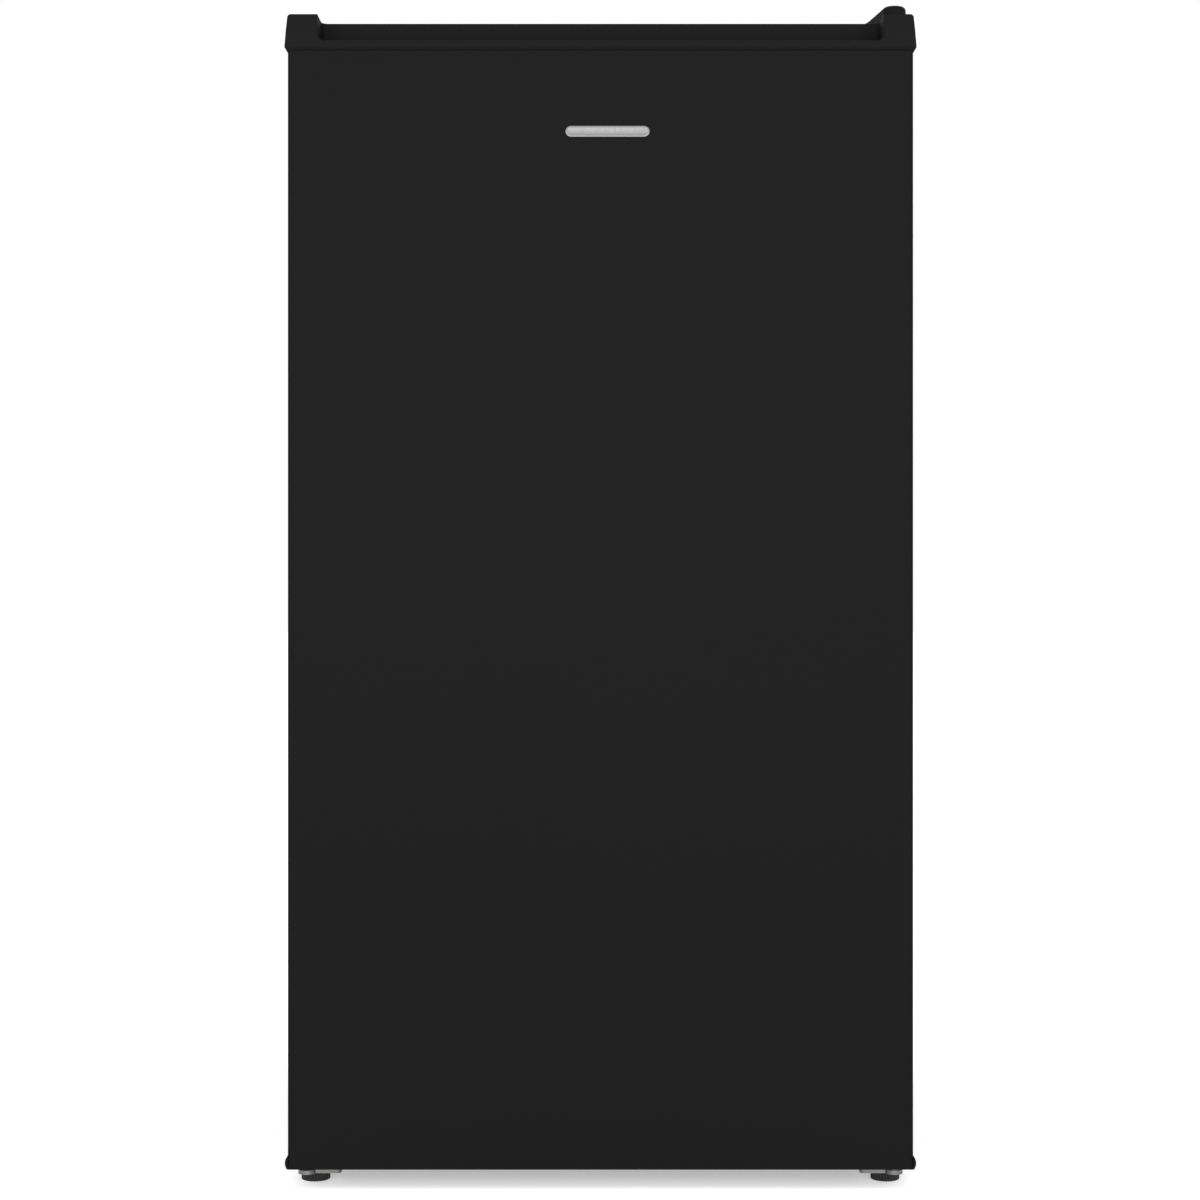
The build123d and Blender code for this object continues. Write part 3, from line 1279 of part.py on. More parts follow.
def build():
    """Every sub-part by node name."""
    nodes = {
        "left_side_panel": side_panel(-1),
        "right_side_panel": side_panel(1),
        "top_panel": top_panel(),
        "bottom_panel": bottom_panel(),
        "back_panel": back_panel(),
        "compressor_bay_plate": compressor_bay_plate(),
        "inner_liner": inner_liner(),
        "cabinet_foam": cabinet_foam(),
        "drain_tube": drain_tube(),
        "top_hinge_plate": top_hinge_plate(),
        "top_hinge_pin": top_pin_hole(),
        "top_hinge_cover": top_hinge_cover(),
        "top_hinge_screws": group([hinge_screw(place) for place in HINGE_SCREWS]),
        "spare_hinge_plugs": spare_hinge_plugs(),
        "bottom_hinge_bracket": foot_bracket(1),
        "left_foot_bracket": foot_bracket(-1),
        "bottom_hinge_pin": bottom_hinge_pin(),
        "bracket_screws": bracket_screws(),
        "right_front_foot": front_foot(1),
        "left_front_foot": front_foot(-1),
        "rear_feet": rear_feet(),
        "door_panel": door_panel(),
        "door_top_cap": door_top_cap(),
        "door_bottom_cap": door_bottom_cap(),
        "hinge_bushes": hinge_bushes(),
        "door_liner": door_liner(),
        "door_gasket": door_gasket(),
        "gasket_magnets": group(magnet_bars()),
        "badge": badge(),
        "evaporator_box": evaporator_box(),
        "evaporator_hangers": evaporator_hangers(),
        "freezer_front_frame": freezer_front_frame(),
        "freezer_flap": freezer_flap(),
        "drip_tray": drip_tray(),
        "upper_shelf_glass": shelf_glass(UPPER_SHELF_Z),
        "upper_shelf_trims": shelf_trims(UPPER_SHELF_Z),
        "crisper_cover_glass": shelf_glass(CRISPER_COVER_Z),
        "crisper_cover_trims": shelf_trims(CRISPER_COVER_Z),
        "crisper_drawer": crisper_drawer(),
        "thermostat_housing": thermostat_housing(),
        "thermostat_knob": thermostat_knob(),
        "lamp_lens": lamp_lens(),
        "compressor_plate": compressor_plate(),
        "compressor": compressor(),
        "compressor_grommets": compressor_grommets(),
        "terminal_cover": terminal_cover(),
        "refrigerant_tubes": refrigerant_tubes(),
        "filter_drier": filter_drier(),
        "condenser_tube": condenser_tube(),
        "condenser_wires": condenser_wires(),
        "condenser_clips": condenser_clips(),
        "evaporating_tray": evaporating_tray(),
        "cord_gland": cord_gland(),
        "wall_spacers": wall_spacers(),
        "back_panel_screws": back_panel_screws(),
    }
    for name, (underside, height) in RACKS.items():
        nodes[name] = door_rack(underside, height)
    nodes["door_foam"] = door_foam(
        nodes["door_top_cap"], nodes["door_bottom_cap"], nodes["hinge_bushes"], nodes["door_liner"]
    )
    return nodes


os.makedirs("parts", exist_ok=True)
for name, solid in build().items():
    export_step(solid, f"parts/{name}.step")
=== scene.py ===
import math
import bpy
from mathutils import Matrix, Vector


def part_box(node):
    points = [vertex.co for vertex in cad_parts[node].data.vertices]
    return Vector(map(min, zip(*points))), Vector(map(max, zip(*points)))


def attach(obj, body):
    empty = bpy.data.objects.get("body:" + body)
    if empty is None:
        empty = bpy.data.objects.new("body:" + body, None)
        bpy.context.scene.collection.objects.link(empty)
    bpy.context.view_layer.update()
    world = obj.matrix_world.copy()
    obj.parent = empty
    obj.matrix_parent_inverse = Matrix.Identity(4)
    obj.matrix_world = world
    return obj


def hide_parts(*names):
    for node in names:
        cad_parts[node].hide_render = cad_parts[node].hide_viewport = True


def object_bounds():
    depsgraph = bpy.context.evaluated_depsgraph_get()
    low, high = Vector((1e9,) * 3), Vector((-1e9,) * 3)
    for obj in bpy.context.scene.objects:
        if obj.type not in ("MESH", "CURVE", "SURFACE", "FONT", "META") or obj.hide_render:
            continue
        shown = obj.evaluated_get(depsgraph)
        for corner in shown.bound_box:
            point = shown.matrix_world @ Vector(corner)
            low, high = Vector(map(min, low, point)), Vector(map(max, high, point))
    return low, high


bl_info = {
    "name": "Mini Fridge Finish",
    "version": (1, 0, 0),
    "blender": (4, 5, 0),
    "location": "3D View > Sidebar > Mini Fridge",
    "description": "Finishes the mini fridge's parts and sets up its studio",
    "category": "Object",
}

import bmesh
import bpy
from mathutils import Matrix, Vector

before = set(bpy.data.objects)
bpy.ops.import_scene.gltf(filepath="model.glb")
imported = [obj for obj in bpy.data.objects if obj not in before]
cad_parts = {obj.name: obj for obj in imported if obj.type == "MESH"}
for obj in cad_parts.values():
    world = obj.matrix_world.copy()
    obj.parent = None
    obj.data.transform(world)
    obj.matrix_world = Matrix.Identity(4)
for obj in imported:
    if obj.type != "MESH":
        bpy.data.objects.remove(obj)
CAD_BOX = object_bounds()

MM = 0.001


# ---------------------------------------------------------------- colours and materials


def colour(hex_text):
    """An sRGB hex value as linear red, green and blue with alpha."""
    channels = [int(hex_text[i : i + 2], 16) / 255 for i in (1, 3, 5)]
    linear = [c / 12.92 if c <= 0.04045 else ((c + 0.055) / 1.055) ** 2.4 for c in channels]
    return (*linear, 1.0)


def per_metre(size_mm):
    """The texture scale at which one feature is that many millimetres across."""
    return 1 / (size_mm * MM)


def add(tree, kind, settings=None, values=None, links=None):
    """Adds a node with its settings, its sockets' values and its incoming links."""
    node = tree.nodes.new(kind)
    for key, value in (settings or {}).items():
        setattr(node, key, value)
    for socket, value in (values or {}).items():
        node.inputs[socket].default_value = value
    for socket, source in (links or {}).items():
        tree.links.new(source, node.inputs[socket])
    return node


def new_material(name, **shader_values):
    """A material with a Principled shader: it, its tree, its shader and object coordinates."""
    material = bpy.data.materials.new(name)
    material.use_nodes = True
    tree = material.node_tree
    tree.nodes.clear()
    shader = add(tree, "ShaderNodeBsdfPrincipled")
    for socket, value in shader_values.items():
        shader.inputs[socket.replace("_", " ")].default_value = value
    add(tree, "ShaderNodeOutputMaterial", links={"Surface": shader.outputs["BSDF"]})
    place = add(tree, "ShaderNodeTexCoord").outputs["Object"]
    return material, tree, shader, place


def noise(tree, place, size_mm, detail=2.0, roughness=0.5):
    return add(
        tree,
        "ShaderNodeTexNoise",
        values={"Scale": per_metre(size_mm), "Detail": detail, "Roughness": roughness},
        links={"Vector": place},
    ).outputs["Fac"]


def spread(tree, factor, low, high, start=0.0, stop=1.0):
    """The factor between start and stop, mapped to run from low to high."""
    return add(
        tree,
        "ShaderNodeMapRange",
        values={"From Min": start, "From Max": stop, "To Min": low, "To Max": high},
        links={"Value": factor},
    ).outputs["Result"]


def between(tree, factor, first, second):
    """A colour between two colours."""
    mix = add(tree, "ShaderNodeMix", settings={"data_type": "RGBA"}, links={"Factor": factor})
    colours = [socket for socket in mix.inputs if socket.type == "RGBA"]
    colours[0].default_value = first
    colours[1].default_value = second
    return [socket for socket in mix.outputs if socket.type == "RGBA"][0]


def bump(tree, shader, height, depth_mm, strength=1.0):
    relief = add(
        tree,
        "ShaderNodeBump",
        values={"Strength": strength, "Distance": depth_mm * MM},
        links={"Height": height},
    )
    tree.links.new(relief.outputs["Normal"], shader.inputs["Normal"])


def shade(colour_value, factor):
    """A linear colour made lighter or darker."""
    return (*(min(1.0, c * factor) for c in colour_value[:3]), 1.0)


def powder_coated_steel(name, base, grain_mm):
    """Powder coat, sprayed and baked: even and deep, with a soft low sheen and a faint orange peel."""
    material, tree, shader, place = new_material(name, IOR=1.5, Specular_IOR_Level=0.05)
    tone = noise(tree, place, 240.0, 1.0)
    coat = between(tree, tone, shade(base, 0.97), shade(base, 1.03))
    tree.links.new(coat, shader.inputs["Base Color"])
    # real orange peel is about 0.5 mm across, so it is drawn a little coarser to show at all
    peel = noise(tree, place, grain_mm, 3.0, 0.6)
    tree.links.new(spread(tree, peel, 0.52, 0.64, 0.3, 0.7), shader.inputs["Roughness"])
    bump(tree, shader, peel, 0.02, 0.5)
    return material


def moulded_abs(name, base):
    """ABS from a spark-eroded mould: dark, fine-grained and duller than the steel beside it."""
    material, tree, shader, place = new_material(name, IOR=1.5, Specular_IOR_Level=0.07)
    grain = noise(tree, place, 0.9, 3.0, 0.65)
    flow = noise(tree, place, 70.0, 1.0)
    skin = between(tree, flow, shade(base, 0.96), shade(base, 1.05))
    tree.links.new(skin, shader.inputs["Base Color"])
    tree.links.new(spread(tree, grain, 0.62, 0.74, 0.3, 0.7), shader.inputs["Roughness"])
    bump(tree, shader, grain, 0.03, 0.5)
    return material


def glass_filled_nylon(name, base):
    """Glass-filled nylon, injection moulded: charcoal and dull, with a faint frost of fibres."""
    material, tree, shader, place = new_material(name, IOR=1.53, Specular_IOR_Level=0.25)
    fibre = noise(tree, place, 1.1, 4.0, 0.7)
    frost = spread(tree, fibre, 0.0, 1.0, 0.4, 0.7)
    tree.links.new(between(tree, frost, base, shade(base, 1.7)), shader.inputs["Base Color"])
    tree.links.new(spread(tree, fibre, 0.5, 0.68, 0.3, 0.7), shader.inputs["Roughness"])
    bump(tree, shader, fibre, 0.04, 0.5)
    return material


def thermoformed_polystyrene(name, base):
    """High-impact polystyrene drawn over a mould: milky white, softly glossy, very slightly wavy."""
    material, tree, shader, place = new_material(
        name, IOR=1.55, Subsurface_Weight=0.06, Subsurface_Scale=0.004, Specular_IOR_Level=0.5
    )
    wave = noise(tree, place, 45.0, 1.0)
    skin = noise(tree, place, 1.2, 2.0)
    tree.links.new(between(tree, wave, shade(base, 0.985), base), shader.inputs["Base Color"])
    tree.links.new(spread(tree, skin, 0.24, 0.34, 0.3, 0.7), shader.inputs["Roughness"])
    bump(tree, shader, wave, 0.5, 0.25)
    return material


def clear_polystyrene(name, base):
    """General-purpose polystyrene, injection moulded: clear, cold in tint, with polished faces."""
    material, tree, shader, place = new_material(
        name, IOR=1.59, Transmission_Weight=0.92, Base_Color=base
    )
    haze = noise(tree, place, 18.0, 2.0)
    tree.links.new(spread(tree, haze, 0.05, 0.12, 0.3, 0.7), shader.inputs["Roughness"])
    bump(tree, shader, haze, 0.1, 0.1)
    return material


def toughened_glass(name, base):
    """Float glass, cut, ground and toughened: clear across the sheet and green at the edge."""
    material, tree, shader, place = new_material(
        name, IOR=1.52, Transmission_Weight=1.0, Base_Color=base
    )
    smear = noise(tree, place, 60.0, 2.0)
    tree.links.new(spread(tree, smear, 0.0, 0.03, 0.4, 0.8), shader.inputs["Roughness"])
    return material


def plasticised_pvc(name, base):
    """Extruded soft PVC: pale grey, slightly waxy, with fine lines along the extrusion."""
    material, tree, shader, place = new_material(name, IOR=1.53, Sheen_Weight=0.1, Sheen_Roughness=0.5)
    cloud = noise(tree, place, 30.0, 2.0)
    skin = noise(tree, place, 0.8, 2.0)
    tree.links.new(between(tree, cloud, shade(base, 0.95), base), shader.inputs["Base Color"])
    tree.links.new(spread(tree, skin, 0.42, 0.55, 0.3, 0.7), shader.inputs["Roughness"])
    bump(tree, shader, skin, 0.03, 0.4)
    return material


def zinc_plated_steel(name, base):
    """Pressed steel, zinc plated and passivated: dull silver with a faint straw bloom."""
    material, tree, shader, place = new_material(name, Metallic=1.0, Roughness=0.38)
    bloom = noise(tree, place, 9.0, 3.0)
    brush = noise(tree, place, 0.7, 4.0, 0.7)
    straw = colour("#706e69")
    patches = spread(tree, bloom, 0, 1, 0.35, 0.65)
    tree.links.new(between(tree, patches, base, straw), shader.inputs["Base Color"])
    tree.links.new(spread(tree, brush, 0.3, 0.48, 0.3, 0.7), shader.inputs["Roughness"])
    bump(tree, shader, brush, 0.02, 0.5)
    return material


def galvanised_sheet(name, base):
    """Hot-dip galvanised sheet: frozen zinc crystals, each catching the light its own way."""
    material, tree, shader, place = new_material(name, Metallic=1.0)
    spangle = add(
        tree,
        "ShaderNodeTexVoronoi",
        values={"Scale": per_metre(9.0), "Randomness": 1.0},
        links={"Vector": place},
    )
    grey = add(tree, "ShaderNodeSeparateColor", links={"Color": spangle.outputs["Color"]}).outputs["Red"]
    tree.links.new(between(tree, grey, shade(base, 0.72), shade(base, 1.1)), shader.inputs["Base Color"])
    tree.links.new(spread(tree, grey, 0.3, 0.52), shader.inputs["Roughness"])
    bump(tree, shader, spangle.outputs["Distance"], 0.05, 0.25)
    return material


def stove_enamel(name, base):
    """Black dipping enamel, stoved: glossy and thick, with a few runs and dust nibs."""
    material, tree, shader, place = new_material(name, IOR=1.5, Coat_Weight=0.4, Coat_Roughness=0.12)
    runs = noise(tree, place, 16.0, 2.0)
    dust = noise(tree, place, 1.6, 3.0)
    tree.links.new(between(tree, dust, base, shade(base, 1.8)), shader.inputs["Base Color"])
    tree.links.new(spread(tree, dust, 0.22, 0.4, 0.3, 0.7), shader.inputs["Roughness"])
    bump(tree, shader, runs, 0.25, 0.35)
    return material


def drawn_copper(name, base):
    """Annealed copper tube: pink where fresh, browned by brazing and handling."""
    material, tree, shader, place = new_material(name, Metallic=1.0)
    tarnish = noise(tree, place, 22.0, 4.0)
    brown = colour("#7c4a33")
    aged = spread(tree, tarnish, 0, 1, 0.42, 0.72)
    tree.links.new(between(tree, aged, base, brown), shader.inputs["Base Color"])
    tree.links.new(spread(tree, tarnish, 0.25, 0.5, 0.3, 0.7), shader.inputs["Roughness"])
    bump(tree, shader, noise(tree, place, 0.8, 2.0), 0.01, 0.4)
    return material


def moulded_rubber(name, base):
    """Vulcanised black rubber: dull, dusty and slightly mottled."""
    material, tree, shader, place = new_material(name, IOR=1.52, Specular_IOR_Level=0.3)
    bloom = noise(tree, place, 6.0, 3.0)
    tree.links.new(between(tree, bloom, base, shade(base, 1.9)), shader.inputs["Base Color"])
    tree.links.new(spread(tree, bloom, 0.65, 0.85, 0.3, 0.7), shader.inputs["Roughness"])
    bump(tree, shader, noise(tree, place, 0.7, 2.0), 0.05, 0.5)
    return material


def natural_nylon(name, base):
    """Natural nylon, injection moulded: off-white, waxy and faintly see-through."""
    material, tree, shader, place = new_material(
        name, IOR=1.53, Roughness=0.42, Subsurface_Weight=0.3, Subsurface_Scale=0.002
    )
    cloud = noise(tree, place, 5.0, 2.0)
    tree.links.new(between(tree, cloud, shade(base, 0.94), base), shader.inputs["Base Color"])
    bump(tree, shader, cloud, 0.02, 0.3)
    return material


def rolled_aluminium(name, base):
    """Roll-bonded aluminium sheet: bright, with fine rolling lines from front to back."""
    material, tree, shader, place = new_material(name, Metallic=1.0, Anisotropic=0.4)
    # rolling lines are finer than this; they are drawn 1.5 mm apart so that they show
    stretched = add(
        tree, "ShaderNodeMapping", values={"Scale": (1.0, 0.03, 1.0)}, links={"Vector": place}
    ).outputs["Vector"]
    lines = noise(tree, stretched, 1.5, 3.0)
    tree.links.new(between(tree, lines, shade(base, 0.86), base), shader.inputs["Base Color"])
    tree.links.new(spread(tree, lines, 0.28, 0.46, 0.3, 0.7), shader.inputs["Roughness"])
    bump(tree, shader, lines, 0.02, 0.4)
    return material


def satin_nickel(name, base):
    """A nickel-plated plate with a satin, vertically brushed face."""
    material, tree, shader, place = new_material(name, Metallic=1.0)
    stretched = add(
        tree, "ShaderNodeMapping", values={"Scale": (1.0, 1.0, 0.05)}, links={"Vector": place}
    ).outputs["Vector"]
    lines = noise(tree, stretched, 0.6, 3.0)
    brushed = between(tree, lines, shade(base, 0.85), shade(base, 1.1))
    tree.links.new(brushed, shader.inputs["Base Color"])
    tree.links.new(spread(tree, lines, 0.34, 0.5, 0.3, 0.7), shader.inputs["Roughness"])
    bump(tree, shader, lines, 0.01, 0.4)
    return material


def frosted_acrylic(name, base):
    """Opal acrylic: it spreads the lamp's light and hides the lamp."""
    material, tree, shader, place = new_material(
        name, IOR=1.49, Transmission_Weight=0.55, Roughness=0.45, Base_Color=base
    )
    prism = add(
        tree,
        "ShaderNodeTexWave",
        values={"Scale": per_metre(20.0), "Distortion": 0.0},
        links={"Vector": place},
    ).outputs["Fac"]
    bump(tree, shader, prism, 0.3, 0.4)
    return material


def rigid_foam(name, base):
    """Polyurethane foam, blown in place: straw-coloured and full of small closed cells, with painted
    shade in each cell's hollow.
    """
    material, tree, shader, place = new_material(name, IOR=1.4, Roughness=0.9)
    cells = add(
        tree, "ShaderNodeTexVoronoi", values={"Scale": per_metre(1.5)}, links={"Vector": place}
    ).outputs["Distance"]
    # painted shade: the sunken middle of each cell is drawn darker than its raised walls
    tree.links.new(between(tree, cells, shade(base, 0.8), base), shader.inputs["Base Color"])
    bump(tree, shader, cells, 0.4, 0.6)
    return material


def printing_ink(name, base):
    """Pad-printed ink: flat, thin and slightly uneven at its edges."""
    material, tree, shader, place = new_material(name, IOR=1.5, Roughness=0.6)
    film = noise(tree, place, 0.4, 2.0)
    tree.links.new(between(tree, film, base, shade(base, 1.4)), shader.inputs["Base Color"])
    return material


def backlit_acrylic(name, base):
    """Opal acrylic table, lit from below: matte and pale, so that shadows on it stay light."""
    material, tree, shader, place = new_material(
        name, Roughness=1.0, Specular_IOR_Level=0.0, Emission_Color=base, Emission_Strength=0.42
    )
    cloud = noise(tree, place, 400.0, 2.0)
    tree.links.new(between(tree, cloud, shade(base, 0.98), base), shader.inputs["Base Color"])
    return material


# ---------------------------------------------------------------- property groups


def hue(label, hex_text, words):
    return bpy.props.FloatVectorProperty(
        name=label,
        description=words,
        subtype="COLOR",
        size=4,
        min=0.0,
        max=1.0,
        default=colour(hex_text),
    )


def length(label, millimetres, words):
    return bpy.props.FloatProperty(
        name=label,
        description=words,
        unit="LENGTH",
        subtype="DISTANCE",
        min=0.0,
        default=millimetres * MM,
    )


class FridgeColours(bpy.types.PropertyGroup):
    steel: hue("Door and sides", "#0e0e0e", "Colour of the powder-coated steel")
    abs: hue("Caps", "#0f0f0f", "Colour of the moulded caps, cover and feet")
    liner: hue("Liner", "#c8c9c7", "Colour of the thermoformed and moulded white parts")
    racks: hue("Racks and drawer", "#dfeaee", "Tint of the clear racks and drawer")
    glass: hue("Shelves", "#dff0e8", "Tint of the glass shelves")
    seal: hue("Seal", "#b9b9b5", "Colour of the door seal")
    zinc: hue("Brackets", "#727375", "Colour of the zinc-plated brackets, pins and screws")
    galvanised: hue("Galvanised sheet", "#b4b8ba", "Colour of the back panel and base plate")
    enamel: hue("Compressor", "#0c0c0d", "Colour of the compressor and condenser")
    copper: hue("Copper", "#c98a6a", "Colour of the refrigerant tubes")
    rubber: hue("Rubber", "#181818", "Colour of the rubber mounts")
    nylon: hue("Nylon", "#dcd8cc", "Colour of the hinge bushes")
    aluminium: hue("Freezer box", "#d2d5d7", "Colour of the evaporator sheet")
    badge: hue("Badge", "#6e6e6e", "Colour of the badge's satin face")
    foam: hue("Foam", "#e2cf96", "Colour of the insulation")
    lens: hue("Lamp lens", "#f4f2ea", "Tint of the lamp's lens")
    ink: hue("Print", "#33373b", "Colour of the dial's numbers and mark")
    feet: hue("Feet", "#171718", "Colour of the levelling feet")
    table: hue("Table", "#f6f6f6", "Colour of the floor")


class FridgeSizes(bpy.types.PropertyGroup):
    peel: length("Orange peel", 1.4, "Width of one dimple in the powder coat")
    ridge: length("Foot ridge", 0.65, "Depth of the ridges around a levelling foot")
    channel: length("Coolant channel", 8.0, "Width of a raised channel in the freezer box")
    flute: length("Liner flute", 9.0, "Width of a flute on the liner's back wall")
    weld: length("Weld spot", 1.3, "Radius of a weld spot on the condenser")
    digit: length("Dial number", 4.6, "Height of the numbers around the thermostat knob")
    camera_distance: length("Camera distance", 1704.0, "From the door's face to the camera")
    camera_height: length("Camera height", 419.0, "From the floor to the camera")


def colours():
    return bpy.context.scene.fridge_colours


def sizes():
    return bpy.context.scene.fridge_sizes


FINISHES = {  # finish: (how it is made, the colour it takes)
    "powder_coated_steel": (powder_coated_steel, "steel"),
    "moulded_abs": (moulded_abs, "abs"),
    "thermoformed_polystyrene": (thermoformed_polystyrene, "liner"),
    "clear_polystyrene": (clear_polystyrene, "racks"),
    "toughened_glass": (toughened_glass, "glass"),
    "plasticised_pvc": (plasticised_pvc, "seal"),
    "zinc_plated_steel": (zinc_plated_steel, "zinc"),
    "galvanised_sheet": (galvanised_sheet, "galvanised"),
    "stove_enamel": (stove_enamel, "enamel"),
    "drawn_copper": (drawn_copper, "copper"),
    "moulded_rubber": (moulded_rubber, "rubber"),
    "natural_nylon": (natural_nylon, "nylon"),
    "rolled_aluminium": (rolled_aluminium, "aluminium"),
    "satin_nickel": (satin_nickel, "badge"),
    "frosted_acrylic": (frosted_acrylic, "lens"),
    "rigid_foam": (rigid_foam, "foam"),
    "printing_ink": (printing_ink, "ink"),
    "glass_filled_nylon": (glass_filled_nylon, "feet"),
    "backlit_acrylic": (backlit_acrylic, "table"),
}


MADE = {}  # finish: its material


def finish(name):
    """The named finish's material, made on first use."""
    if name not in MADE:
        maker, tint = FINISHES[name]
        base = tuple(getattr(colours(), tint))
        grain = (sizes().peel / MM,) if maker is powder_coated_steel else ()
        MADE[name] = maker(name, base, *grain)
    return MADE[name]


def paint(finish_name, *nodes):
    """Gives each CAD node's material slots a finish."""
    material = finish(finish_name)
    for node in nodes:
        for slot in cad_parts[node].material_slots:
            slot.material = material


# ---------------------------------------------------------------- mesh helpers

SHARP_ANGLE = math.radians(35)


def new_piece(name, bm, finish_name, body):
    """Turns a bmesh into a named object with its finish, riding on a body."""
    bmesh.ops.recalc_face_normals(bm, faces=bm.faces)
    for face in bm.faces:
        face.smooth = True
    for edge in bm.edges:
        if len(edge.link_faces) == 2:
            edge.smooth = edge.calc_face_angle(0.0) < SHARP_ANGLE
    mesh = bpy.data.meshes.new(name)
    bm.to_mesh(mesh)
    bm.free()
    piece = bpy.data.objects.new(name, mesh)
    bpy.context.scene.collection.objects.link(piece)
    mesh.materials.append(finish(finish_name))
    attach(piece, body)
    return piece


def skin_rings(bm, rings, closed_rings=True, closed_path=False, capped=True):
    """Joins rings of points with faces, and caps the two ends."""
    made = [[bm.verts.new(point) for point in ring] for ring in rings]
    count = len(rings[0])
    steps = len(rings) if closed_path else len(rings) - 1
    spans = count if closed_rings else count - 1
    for i in range(steps):
        here = made[i]
        there = made[(i + 1) % len(made)]
        for j in range(spans):
            k = (j + 1) % count
            bm.faces.new((here[j], here[k], there[k], there[j]))
    if capped and not closed_path:
        bm.faces.new(made[0][::-1])
        bm.faces.new(made[-1])
    return made


def lathe(bm, profile, place, segments=64, wobble=None):
    """Turns a (radius, height) profile about a vertical axis; wobble changes each radius."""
    rings = []
    for radius, height in profile:
        ring = []
        for i in range(segments):
            turn = 2 * math.pi * i / segments
            r = wobble(radius, height, turn) if wobble else radius
            ring.append(place @ Vector((r * math.cos(turn), r * math.sin(turn), height)))
        rings.append(ring)
    skin_rings(bm, rings)


def rounded_path(points, radius, steps=6):
    """A path of straight runs whose corners are arcs."""
    points = [Vector(p) for p in points]
    path = [points[0]]
    for before, corner, after in zip(points, points[1:], points[2:]):
        into = (before - corner).normalized()
        out = (after - corner).normalized()
        half = into.angle(out) / 2
        reach = radius / math.tan(half)
        middle = corner + (into + out).normalized() * radius / math.sin(half)
        start = corner + into * reach - middle
        stop = corner + out * reach - middle
        for i in range(steps + 1):
            path.append(middle + start.slerp(stop, i / steps) * radius)
    path.append(points[-1])
    return path


def half_round(width, height, steps=8):
    """The section of a raised rib: flat below, an ellipse above."""
    return [
        (width / 2 * math.cos(math.pi * i / steps), height * math.sin(math.pi * i / steps))
        for i in range(steps + 1)
    ]


def full_round(radius, steps=12):
    return [
        (radius * math.cos(2 * math.pi * i / steps), radius * math.sin(2 * math.pi * i / steps))
        for i in range(steps)
    ]


def sweep(bm, path, section, up, closed=False):
    """Carries a section along a path, with its height towards up."""
    up = Vector(up)
    rings = []
    count = len(path)
    for i, point in enumerate(path):
        before = path[i - 1] if closed or i > 0 else path[i]
        after = path[(i + 1) % count] if closed or i < count - 1 else path[i]
        along = (after - before).normalized()
        side = along.cross(up).normalized()
        lift = side.cross(along).normalized()
        rings.append([point + side * u + lift * v for u, v in section])
    skin_rings(bm, rings, closed_path=closed)


def softened(points, rounds=2):
    """A closed outline with its corners cut, again and again, until they are round."""
    for _ in range(rounds):
        cut = []
        for (ax, ay), (bx, by) in zip(points, points[1:] + points[:1]):
            cut.append((0.75 * ax + 0.25 * bx, 0.75 * ay + 0.25 * by))
            cut.append((0.25 * ax + 0.75 * bx, 0.25 * ay + 0.75 * by))
        points = cut
    return points


def cross_head(bm, place, radius, height):
    """A domed screw head with a cross recess, built outwards along the place's own Z."""
    segments = 48
    rings = 12
    arm = 0.17 * radius
    reach = 0.62 * radius
    depth = 0.6 * height
    outline = [(radius, 0.0)]
    for i in range(rings):
        share = 1 - i / rings
        outline.append((radius * share * 0.97, height * (1 - 0.35 * share**2)))

    made = []
    for r, z in outline:
        ring = []
        for j in range(segments):
            turn = 2 * math.pi * (j + 0.5) / segments
            x = r * math.cos(turn)
            y = r * math.sin(turn)
            in_cross = min(abs(x), abs(y)) < arm and max(abs(x), abs(y)) < reach
            ring.append(place @ Vector((x, y, z - depth if in_cross else z)))
        made.append(ring)
    skin_rings(bm, made)


# ---------------------------------------------------------------- operators: finishes of CAD parts


class FRIDGE_OT_painted_steel(bpy.types.Operator):
    """Powder-coats the door, the sides, the top and the bottom"""

    bl_idname = "fridge.painted_steel"
    bl_label = "Painted steel"

    def execute(self, context):
        paint(
            "powder_coated_steel",
            "door_panel",
            "left_side_panel",
            "right_side_panel",
            "top_panel",
            "bottom_panel",
        )
        return {"FINISHED"}


class FRIDGE_OT_black_mouldings(bpy.types.Operator):
    """Finishes the caps, the hinge cover and the other black mouldings"""

    bl_idname = "fridge.black_mouldings"
    bl_label = "Black mouldings"

    def execute(self, context):
        paint(
            "moulded_abs",
            "door_top_cap",
            "door_bottom_cap",
            "top_hinge_cover",
            "spare_hinge_plugs",
            "rear_feet",
            "terminal_cover",
            "cord_gland",
            "wall_spacers",
            "condenser_clips",
            "evaporating_tray",
        )
        return {"FINISHED"}


class FRIDGE_OT_white_mouldings(bpy.types.Operator):
    """Finishes the liners, the freezer's front, the drip tray and the thermostat"""

    bl_idname = "fridge.white_mouldings"
    bl_label = "White mouldings"

    def execute(self, context):
        paint(
            "thermoformed_polystyrene",
            "inner_liner",
            "door_liner",
            "freezer_front_frame",
            "freezer_flap",
            "drip_tray",
            "thermostat_housing",
            "thermostat_knob",
            "evaporator_hangers",
            "upper_shelf_trims",
            "crisper_cover_trims",
            "drain_tube",
        )
        return {"FINISHED"}


class FRIDGE_OT_clear_parts(bpy.types.Operator):
    """Finishes the racks, the drawer, the shelves and the lamp's lens"""

    bl_idname = "fridge.clear_parts"
    bl_label = "Clear parts"

    def execute(self, context):
        racks = ("upper_door_rack", "middle_door_rack", "bottle_rack")
        paint("clear_polystyrene", "crisper_drawer", *racks)
        paint("toughened_glass", "upper_shelf_glass", "crisper_cover_glass")
        paint("frosted_acrylic", "lamp_lens")
        return {"FINISHED"}


